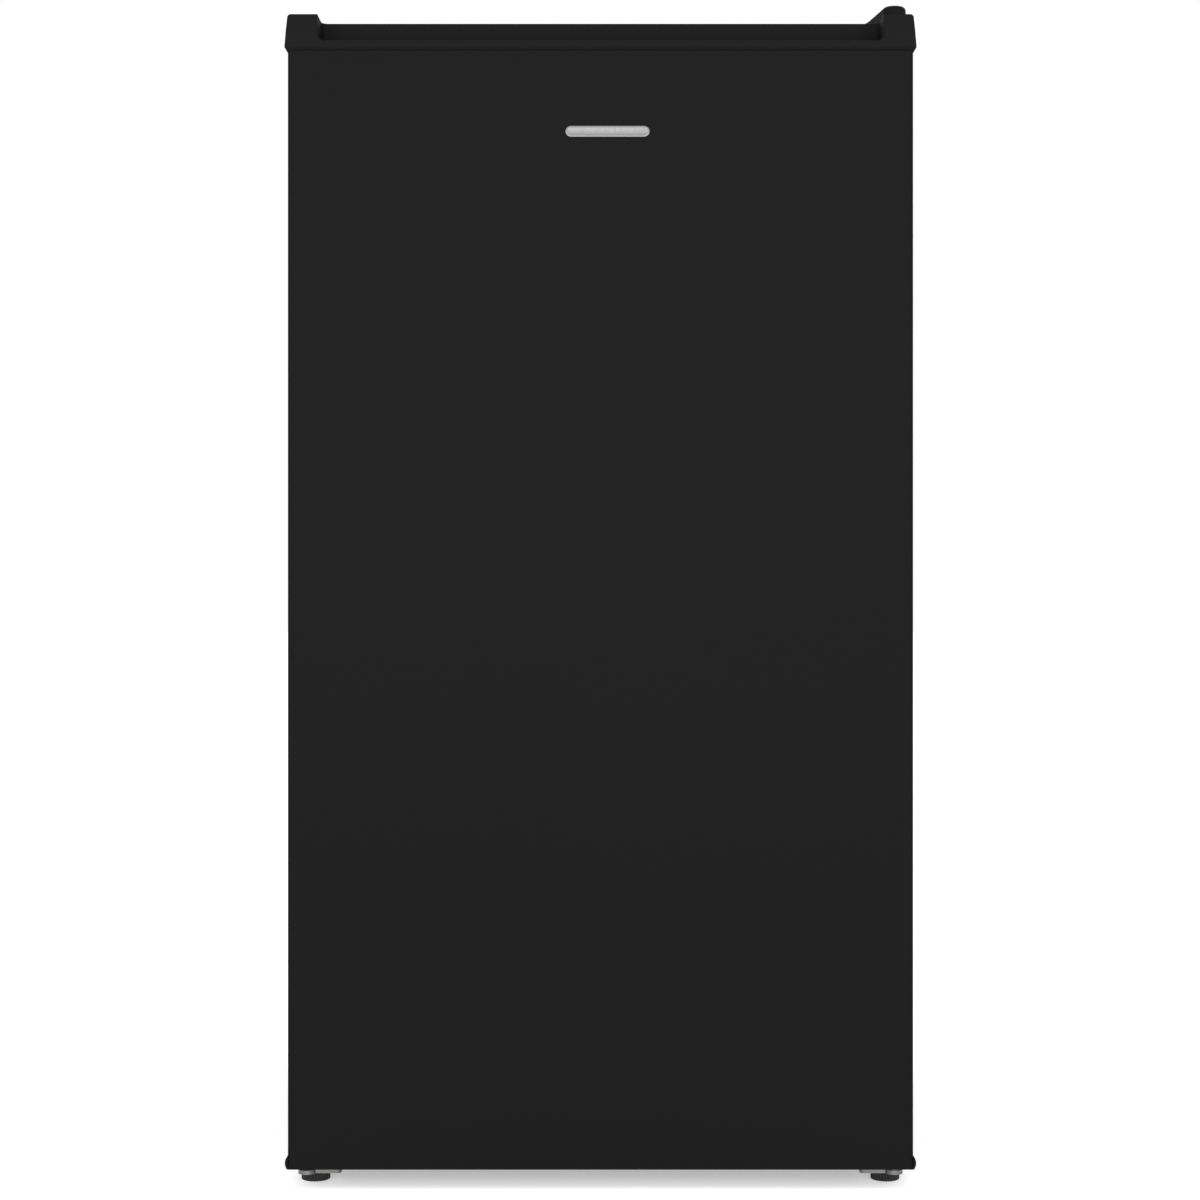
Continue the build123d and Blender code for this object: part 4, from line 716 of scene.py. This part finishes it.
class FRIDGE_OT_metalwork(bpy.types.Operator):
    """Finishes the hinges, the brackets and the galvanised sheets"""

    bl_idname = "fridge.metalwork"
    bl_label = "Metalwork"

    def execute(self, context):
        paint(
            "zinc_plated_steel",
            "top_hinge_plate",
            "top_hinge_pin",
            "top_hinge_screws",
            "bottom_hinge_bracket",
            "left_foot_bracket",
            "bottom_hinge_pin",
        )
        paint("galvanised_sheet", "back_panel", "compressor_bay_plate", "compressor_plate")
        paint("rolled_aluminium", "evaporator_box")
        return {"FINISHED"}


class FRIDGE_OT_hidden_parts(bpy.types.Operator):
    """Finishes the foam, the magnets and the bushes, which other parts hide"""

    bl_idname = "fridge.hidden_parts"
    bl_label = "Hidden parts"

    def execute(self, context):
        paint("rigid_foam", "cabinet_foam", "door_foam")
        paint("moulded_rubber", "gasket_magnets", "compressor_grommets")
        paint("natural_nylon", "hinge_bushes")
        return {"FINISHED"}


class FRIDGE_OT_cooling_circuit(bpy.types.Operator):
    """Finishes the compressor, the condenser and their tubes"""

    bl_idname = "fridge.cooling_circuit"
    bl_label = "Cooling circuit"

    def execute(self, context):
        paint("stove_enamel", "compressor", "condenser_tube", "condenser_wires")
        paint("drawn_copper", "refrigerant_tubes", "filter_drier")
        return {"FINISHED"}


# ---------------------------------------------------------------- operators: modelled pieces


class FRIDGE_OT_door_seal(bpy.types.Operator):
    """Models the magnetic seal's section: root, folded bellows and sealing face"""

    bl_idname = "fridge.door_seal"
    bl_label = "Door seal"

    def execute(self, context):
        low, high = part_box("door_gasket")
        width = 18.0
        # across the seal from its outer edge, and out from the door, in millimetres
        outline = [
            (0.0, 0.0), (width, 0.0), (width, 1.2), (16.8, 2.0), (14.4, 2.2), (13.0, 3.2), (15.2, 4.4),
            (13.4, 5.6), (16.9, 6.2), (17.4, 8.0), (16.4, 9.6), (9.0, 9.6), (1.6, 9.6), (0.6, 8.0),
            (1.1, 6.2), (4.6, 5.6), (2.8, 4.4), (5.0, 3.2), (3.6, 2.2), (1.2, 2.0), (0.0, 1.2),
        ]
        section = [(min(max(u, 0.0), width) * MM, v * MM) for u, v in softened(outline)]
        rings = []
        for side, end in ((-1, -1), (1, -1), (1, 1), (-1, 1)):
            x_edge = high.x if side > 0 else low.x
            z_edge = high.z if end > 0 else low.z
            rings.append([Vector((x_edge - side * u, low.y + v, z_edge - end * u)) for u, v in section])
        bm = bmesh.new()
        skin_rings(bm, rings, closed_path=True)
        seal = new_piece("door_seal", bm, "plasticised_pvc", "door")
        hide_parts("door_gasket")
        return {"FINISHED"}


class FRIDGE_OT_levelling_feet(bpy.types.Operator):
    """Models the ridged front feet with their threaded studs"""

    bl_idname = "fridge.levelling_feet"
    bl_label = "Levelling feet"

    ridges = 28
    thread_pitch = 1.25 * MM
    thread_depth = 0.5 * MM
    thread_foot = 7.0 * MM
    disc_edge = 8.5 * MM
    stud_core = 3.0 * MM

    def wobble(self, radius, height, turn):
        """Ridges round the disc's edge and a thread round the stud."""
        if radius > self.disc_edge:
            return radius - sizes().ridge * (0.5 - 0.5 * math.cos(self.ridges * turn)) ** 2
        if height > self.thread_foot and radius > self.stud_core:
            phase = (height / self.thread_pitch - turn / (2 * math.pi)) % 1.0
            return radius - self.thread_depth * abs(2 * phase - 1)
        return radius

    def profile(self, radius, disc_top, stud_top):
        """The foot's (radius, height) outline from the middle of its underside to its tip."""
        stud = 3.95 * MM
        bevel = 0.9 * MM
        outline = [
            (0.4 * radius, 0.0),
            (radius - 2.2 * bevel, 0.0),
            (radius - bevel, 0.15 * bevel),
            (radius - 0.3 * bevel, 0.5 * bevel),
            (radius, bevel),
            (radius, disc_top - bevel),
            (radius - 0.3 * bevel, disc_top - 0.4 * bevel),
            (radius - bevel, disc_top),
            (stud + 0.8 * MM, disc_top),
            (stud, disc_top + 0.2 * MM),
        ]
        steps = 32
        run = stud_top - disc_top - 0.7 * MM
        for i in range(1, steps):
            outline.append((stud, disc_top + 0.2 * MM + run * i / steps))
        return outline + [(stud - 0.6 * MM, stud_top)]

    def execute(self, context):
        for node in ("left_front_foot", "right_front_foot"):
            low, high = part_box(node)
            place = Matrix.Translation(((low.x + high.x) / 2, (low.y + high.y) / 2, 0.0))
            radius = (high.x - low.x) / 2 - 0.02 * MM
            bm = bmesh.new()
            outline = self.profile(radius, 6.5 * MM, high.z)
            lathe(bm, outline, place, segments=self.ridges * 8, wobble=self.wobble)
            name = node.replace("front", "levelling")
            foot = new_piece(name, bm, "glass_filled_nylon", node)
            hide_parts(node)
        return {"FINISHED"}


class FRIDGE_OT_badge(bpy.types.Operator):
    """Models the plain badge: a raised rim around a satin field"""

    bl_idname = "fridge.badge"
    bl_label = "Badge"

    def ring(self, low, high, inset, depth, steps=16):
        """One pill-shaped outline, drawn in by an inset, at a depth behind the badge's face."""
        radius = (high.z - low.z) / 2 - inset
        middle = (low.z + high.z) / 2
        ends = (high.x - inset - radius, low.x + inset + radius)
        points = []
        for centre, start in zip(ends, (-math.pi / 2, math.pi / 2)):
            for i in range(steps + 1):
                turn = start + math.pi * i / steps
                x = centre + radius * math.cos(turn)
                points.append(Vector((x, low.y + depth, middle + radius * math.sin(turn))))
        return points

    def execute(self, context):
        low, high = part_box("badge")
        thickness = high.y - low.y
        bevel = 0.35 * MM
        rim = 1.0 * MM
        shape = [(0.0, thickness), (0.0, bevel), (0.3 * bevel, 0.3 * bevel), (bevel, 0.0)]
        shape += [(rim, 0.0), (rim + 0.3 * bevel, 0.25 * MM), (rim + bevel, 0.3 * MM)]
        bm = bmesh.new()
        skin_rings(bm, [self.ring(low, high, inset, depth) for inset, depth in shape])
        plate = new_piece("badge_plate", bm, "satin_nickel", "door")
        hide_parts("badge")
        return {"FINISHED"}


class FRIDGE_OT_screws(bpy.types.Operator):
    """Models the screws of the brackets and the back panel, with cross recesses"""

    bl_idname = "fridge.screws"
    bl_label = "Screws"

    def places(self, node):
        """Where each separate screw of a node stands: the middle of its box."""
        bm = bmesh.new()
        bm.from_mesh(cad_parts[node].data)
        bmesh.ops.remove_doubles(bm, verts=bm.verts, dist=0.01 * MM)
        waiting = set(bm.verts)
        boxes = []
        while waiting:
            island = [waiting.pop()]
            for vert in island:
                for edge in vert.link_edges:
                    other = edge.other_vert(vert)
                    if other in waiting:
                        waiting.remove(other)
                        island.append(other)
            points = [v.co.copy() for v in island]
            low = Vector(map(min, *points))
            high = Vector(map(max, *points))
            boxes.append((low, high))
        bm.free()
        return sorted(boxes, key=lambda box: tuple(box[0]))

    def execute(self, context):
        radius = 3.8 * MM
        outward = {  # node: (the turn that faces a head outwards, the head's height)
            "bracket_screws": (Matrix.Rotation(math.pi, 4, "X"), 2.4 * MM),
            "back_panel_screws": (Matrix.Rotation(-math.pi / 2, 4, "X"), 2.0 * MM),
        }
        for node, (turn, height) in outward.items():
            bm = bmesh.new()
            for low, high in self.places(node):
                middle = (low + high) / 2
                if node == "bracket_screws":
                    middle.z = low.z + height
                else:
                    middle.y = low.y
                cross_head(bm, Matrix.Translation(middle) @ turn, radius, height)
            name = node.replace("screws", "screw_heads")
            zinc = "zinc_plated_steel"
            heads = new_piece(name, bm, zinc, "cabinet")
            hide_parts(node)
        return {"FINISHED"}


class FRIDGE_OT_coolant_channels(bpy.types.Operator):
    """Models the channels blown into the freezer box's sheet"""

    bl_idname = "fridge.coolant_channels"
    bl_label = "Coolant channels"

    def serpentine(self, low, high, runs, along):
        """A snaking path over a rectangle: (first, second) pairs."""
        points = []
        for i in range(runs):
            step = low[along] + (high[along] - low[along]) * i / (runs - 1)
            ends = (low[1 - along], high[1 - along])
            for end in ends if i % 2 == 0 else ends[::-1]:
                points.append((step, end) if along == 0 else (end, step))
        return points

    def execute(self, context):
        low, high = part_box("evaporator_box")
        width = sizes().channel
        height = 0.2 * width
        wall = 1.5 * MM
        margin = 24 * MM
        bm = bmesh.new()
        flat = self.serpentine(
            (low.x + margin, low.y + margin), (high.x - margin, high.y - margin), 8, 0
        )
        bend = 14 * MM
        for z, up in ((low.z, -1), (low.z + wall, 1), (high.z - wall, -1), (high.z, 1)):
            path = rounded_path([(x, y, z) for x, y in flat], bend)
            sweep(bm, path, half_round(width, height), (0, 0, up))
        side_margin = 20 * MM
        upright = self.serpentine(
            (low.y + margin, low.z + side_margin), (high.y - margin, high.z - side_margin), 3, 1
        )
        for x, up in ((low.x, -1), (low.x + wall, 1), (high.x - wall, -1), (high.x, 1)):
            path = rounded_path([(x, y, z) for y, z in upright], bend)
            sweep(bm, path, half_round(width, height), (up, 0, 0))
        new_piece("coolant_channels", bm, "rolled_aluminium", "cabinet")
        return {"FINISHED"}


class FRIDGE_OT_liner_relief(bpy.types.Operator):
    """Models the flutes on the liner's back wall and the ribs on the door's liner"""

    bl_idname = "fridge.liner_relief"
    bl_label = "Liner relief"

    def execute(self, context):
        width = sizes().flute
        height = 1.2 * MM
        sheet = 1.2 * MM
        end_gap = 14 * MM
        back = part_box("inner_liner")[1].y - sheet
        flute_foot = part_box("crisper_cover_trims")[1].z + end_gap
        flute_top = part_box("drip_tray")[0].z - end_gap
        bm = bmesh.new()
        count = 9
        spacing = 36 * MM
        for i in range(count):
            x = (i - (count - 1) / 2) * spacing
            path = [Vector((x, back, flute_foot)), Vector((x, back, flute_top))]
            sweep(bm, path, half_round(width, height), (0, -1, 0))
        new_piece("liner_flutes", bm, "thermoformed_polystyrene", "cabinet")

        plug_y = -182.0 * MM
        # each rack lifts 25 mm before it comes off, so no rib stands in that space
        lift_room = 32 * MM
        gaps = [
            (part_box("bottle_rack")[1].z + lift_room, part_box("middle_door_rack")[0].z),
            (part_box("middle_door_rack")[1].z + lift_room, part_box("upper_door_rack")[0].z),
            (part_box("upper_door_rack")[1].z + lift_room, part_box("door_liner")[1].z - 60 * MM),
        ]
        bm = bmesh.new()
        half = 128 * MM
        rib_spacing = 42 * MM
        for low, high in gaps:
            ribs = max(2, round((high - low) / rib_spacing))
            for i in range(ribs):
                z = low + (high - low) * (i + 0.5) / ribs
                path = [Vector((-half, plug_y, z)), Vector((half, plug_y, z))]
                sweep(bm, path, half_round(width, height), (0, 1, 0))
        new_piece("door_liner_ribs", bm, "thermoformed_polystyrene", "door")
        return {"FINISHED"}


class FRIDGE_OT_dial(bpy.types.Operator):
    """Prints the numbers around the thermostat knob and models the knob's mark"""

    bl_idname = "fridge.dial"
    bl_label = "Dial"

    def digit_mesh(self, digit, height):
        """One digit's mesh, centred on its own origin."""
        curve = bpy.data.curves.new("digit", "FONT")
        curve.body = str(digit)
        curve.size = height / 0.7
        curve.align_x = "CENTER"
        curve.align_y = "CENTER"
        curve.extrude = 0.05 * MM
        text = bpy.data.objects.new("digit", curve)
        bpy.context.scene.collection.objects.link(text)
        bpy.context.view_layer.update()
        mesh = bpy.data.meshes.new_from_object(text)
        bpy.data.objects.remove(text)
        return mesh

    def execute(self, context):
        knob_low, knob_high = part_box("thermostat_knob")
        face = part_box("thermostat_housing")[0].x
        centre_y = (knob_low.y + knob_high.y) / 2
        centre_z = (knob_low.z + knob_high.z) / 2
        radius = (knob_high.y - knob_low.y) / 2 + 4.6 * MM
        highest = 7
        sweep_angle = math.radians(270)
        # a digit's own right, up and outward directions, as seen by someone facing the wall
        upright = Matrix(((0, 0, -1, 0), (-1, 0, 0, 0), (0, 1, 0, 0), (0, 0, 0, 1)))
        bm = bmesh.new()
        for digit in range(highest + 1):
            turn = sweep_angle * digit / highest
            y = centre_y - radius * math.sin(turn)
            z = centre_z + radius * math.cos(turn)
            mesh = self.digit_mesh(digit, sizes().digit)
            mesh.transform(Matrix.Translation((face - 0.02 * MM, y, z)) @ upright)
            bm.from_mesh(mesh)
            bpy.data.meshes.remove(mesh)
        bmesh.ops.remove_doubles(bm, verts=bm.verts, dist=0.001 * MM)
        new_piece("dial_numbers", bm, "printing_ink", "cabinet")

        bm = bmesh.new()
        tip = knob_low.x
        top = centre_z + 13.4 * MM
        foot = centre_z + 5.0 * MM
        path = [Vector((tip, centre_y, foot)), Vector((tip, centre_y, top))]
        sweep(bm, path, half_round(1.6 * MM, 0.25 * MM), (-1, 0, 0))
        new_piece("knob_mark", bm, "printing_ink", "thermostat_knob")
        return {"FINISHED"}


class FRIDGE_OT_compressor_details(bpy.types.Operator):
    """Models the compressor's weld bead, process tube and cover clip"""

    bl_idname = "fridge.compressor_details"
    bl_label = "Compressor details"

    def execute(self, context):
        low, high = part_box("compressor")
        centre = (low + high) / 2
        half_x = 76.2 * MM
        half_y = 58.2 * MM
        seam_z = 92.6 * MM
        bead = 1.7 * MM
        samples = 420
        ripple = 105
        rings = []
        for i in range(samples):
            turn = 2 * math.pi * i / samples
            out = Vector((math.cos(turn), math.sin(turn), 0.0))
            place = Vector((centre.x + half_x * out.x, centre.y + half_y * out.y, seam_z))
            size = bead * (1 + 0.12 * math.cos(ripple * turn))
            ring = []
            for u, v in full_round(size, 8):
                ring.append(place + out * u + Vector((0, 0, v)))
            rings.append(ring)
        bm = bmesh.new()
        skin_rings(bm, rings, closed_path=True)
        new_piece("compressor_weld_bead", bm, "stove_enamel", "cabinet")

        bm = bmesh.new()
        start = Vector((centre.x + 34 * MM, centre.y + 44 * MM, 112 * MM))
        elbow = start + Vector((9 * MM, 16 * MM, 0))
        stub = rounded_path([start, elbow, start + Vector((9 * MM, 16 * MM, 34 * MM))], 5 * MM)
        sweep(bm, stub, full_round(3 * MM), (1, 0, 0.1))
        new_piece("process_tube", bm, "drawn_copper", "cabinet")

        cover_low, cover_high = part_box("terminal_cover")
        middle_y = (cover_low.y + cover_high.y) / 2
        inner_x = cover_low.x + 6 * MM
        outer_x = cover_high.x + 1.0 * MM
        clip = rounded_path(
            [
                (inner_x, middle_y, cover_high.z + 1 * MM),
                (outer_x, middle_y, cover_high.z + 1 * MM),
                (outer_x, middle_y, cover_low.z - 1 * MM),
                (inner_x, middle_y, cover_low.z - 1 * MM),
            ],
            4 * MM,
        )
        bm = bmesh.new()
        sweep(bm, clip, full_round(0.9 * MM, 10), (0, 1, 0))
        new_piece("terminal_cover_clip", bm, "zinc_plated_steel", "cabinet")
        return {"FINISHED"}


class FRIDGE_OT_condenser_welds(bpy.types.Operator):
    """Models a weld spot wherever a condenser wire crosses the serpentine"""

    bl_idname = "fridge.condenser_welds"
    bl_label = "Condenser welds"

    def execute(self, context):
        low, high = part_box("condenser_wires")
        wire = 0.8 * MM
        wire_count = 25
        run_count = 13
        end_gap = 14 * MM
        spot = sizes().weld
        y = low.y + 0.3 * MM
        bm = bmesh.new()
        for i in range(wire_count):
            x = low.x + wire + (high.x - low.x - 2 * wire) * i / (wire_count - 1)
            for j in range(run_count):
                z = low.z + end_gap + (high.z - low.z - 2 * end_gap) * j / (run_count - 1)
                place = Matrix.Translation((x, y, z)) @ Matrix.Diagonal((1.0, 0.7, 1.0, 1.0))
                bmesh.ops.create_icosphere(bm, subdivisions=1, radius=spot, matrix=place)
        new_piece("condenser_weld_spots", bm, "stove_enamel", "cabinet")
        return {"FINISHED"}


# ---------------------------------------------------------------- operator: stage


class FRIDGE_OT_stage(bpy.types.Operator):
    """Sets up the pale floor, the soft studio light and the camera"""

    bl_idname = "fridge.stage"
    bl_label = "Stage"

    floor_reach = 30.0
    sky_strength = 1.02
    softbox_place = (0.0, -3.4, 0.9)
    softbox_size = (4.0, 1.7)
    softbox_watts = 92.0
    lens = 72.0
    sensor_width = 36.0
    camera_shift = 0.35 * MM

    def floor(self):
        bm = bmesh.new()
        bmesh.ops.create_grid(bm, x_segments=8, y_segments=8, size=self.floor_reach)
        mesh = bpy.data.meshes.new("studio_floor")
        bm.to_mesh(mesh)
        bm.free()
        floor = bpy.data.objects.new("studio_floor", mesh)
        bpy.context.scene.collection.objects.link(floor)
        mesh.materials.append(finish("backlit_acrylic"))

    def softbox(self, name, place, target, size, watts):
        light = bpy.data.lights.new(name, "AREA")
        light.shape = "RECTANGLE"
        light.size = size[0]
        light.size_y = size[1]
        light.energy = watts
        lamp = bpy.data.objects.new(name, light)
        lamp.location = place
        lamp.rotation_euler = (Vector(target) - Vector(place)).to_track_quat("-Z", "Y").to_euler()
        bpy.context.scene.collection.objects.link(lamp)

    def sky(self):
        world = bpy.data.worlds.new("studio")
        world.use_nodes = True
        background = world.node_tree.nodes["Background"]
        background.inputs["Color"].default_value = (1.0, 1.0, 1.0, 1.0)
        background.inputs["Strength"].default_value = self.sky_strength
        bpy.context.scene.world = world

    def camera(self):
        front = CAD_BOX[0].y
        data = bpy.data.cameras.new("front_camera")
        data.sensor_width = self.sensor_width
        data.lens = self.lens
        camera = bpy.data.objects.new("front_camera", data)
        camera.location = (
            -self.camera_shift,
            front - sizes().camera_distance,
            sizes().camera_height,
        )
        camera.rotation_euler = (math.pi / 2, 0.0, 0.0)
        bpy.context.scene.collection.objects.link(camera)
        bpy.context.scene.camera = camera

    def execute(self, context):
        self.floor()
        self.sky()
        low, high = CAD_BOX
        middle = (low + high) / 2
        self.softbox(
            "front_softbox", self.softbox_place, middle, self.softbox_size, self.softbox_watts
        )
        self.camera()
        context.scene.view_settings.view_transform = "Standard"
        return {"FINISHED"}


# ---------------------------------------------------------------- panel, registration and run

PIECE_OPERATORS = (
    FRIDGE_OT_stage,
    FRIDGE_OT_painted_steel,
    FRIDGE_OT_black_mouldings,
    FRIDGE_OT_white_mouldings,
    FRIDGE_OT_clear_parts,
    FRIDGE_OT_metalwork,
    FRIDGE_OT_hidden_parts,
    FRIDGE_OT_cooling_circuit,
    FRIDGE_OT_door_seal,
    FRIDGE_OT_levelling_feet,
    FRIDGE_OT_badge,
    FRIDGE_OT_screws,
    FRIDGE_OT_coolant_channels,
    FRIDGE_OT_liner_relief,
    FRIDGE_OT_dial,
    FRIDGE_OT_compressor_details,
    FRIDGE_OT_condenser_welds,
)


class FRIDGE_PT_panel(bpy.types.Panel):
    """Lists the fridge's colours, sizes and steps"""

    bl_idname = "FRIDGE_PT_panel"
    bl_label = "Mini Fridge"
    bl_space_type = "VIEW_3D"
    bl_region_type = "UI"
    bl_category = "Mini Fridge"

    def draw(self, context):
        for group in (context.scene.fridge_colours, context.scene.fridge_sizes):
            column = self.layout.column(align=True)
            for name in group.__annotations__:
                column.prop(group, name)
        steps = self.layout.column(align=True)
        for operator in PIECE_OPERATORS:
            steps.operator(operator.bl_idname)


CLASSES = (FridgeColours, FridgeSizes, *PIECE_OPERATORS, FRIDGE_PT_panel)


def register():
    for cls in CLASSES:
        bpy.utils.register_class(cls)
    bpy.types.Scene.fridge_colours = bpy.props.PointerProperty(type=FridgeColours)
    bpy.types.Scene.fridge_sizes = bpy.props.PointerProperty(type=FridgeSizes)


def unregister():
    del bpy.types.Scene.fridge_sizes
    del bpy.types.Scene.fridge_colours
    for cls in reversed(CLASSES):
        bpy.utils.unregister_class(cls)


def main():
    register()
    for operator in PIECE_OPERATORS:
        group, step = operator.bl_idname.split(".")
        getattr(getattr(bpy.ops, group), step)()


if __name__ == "__main__":
    main()
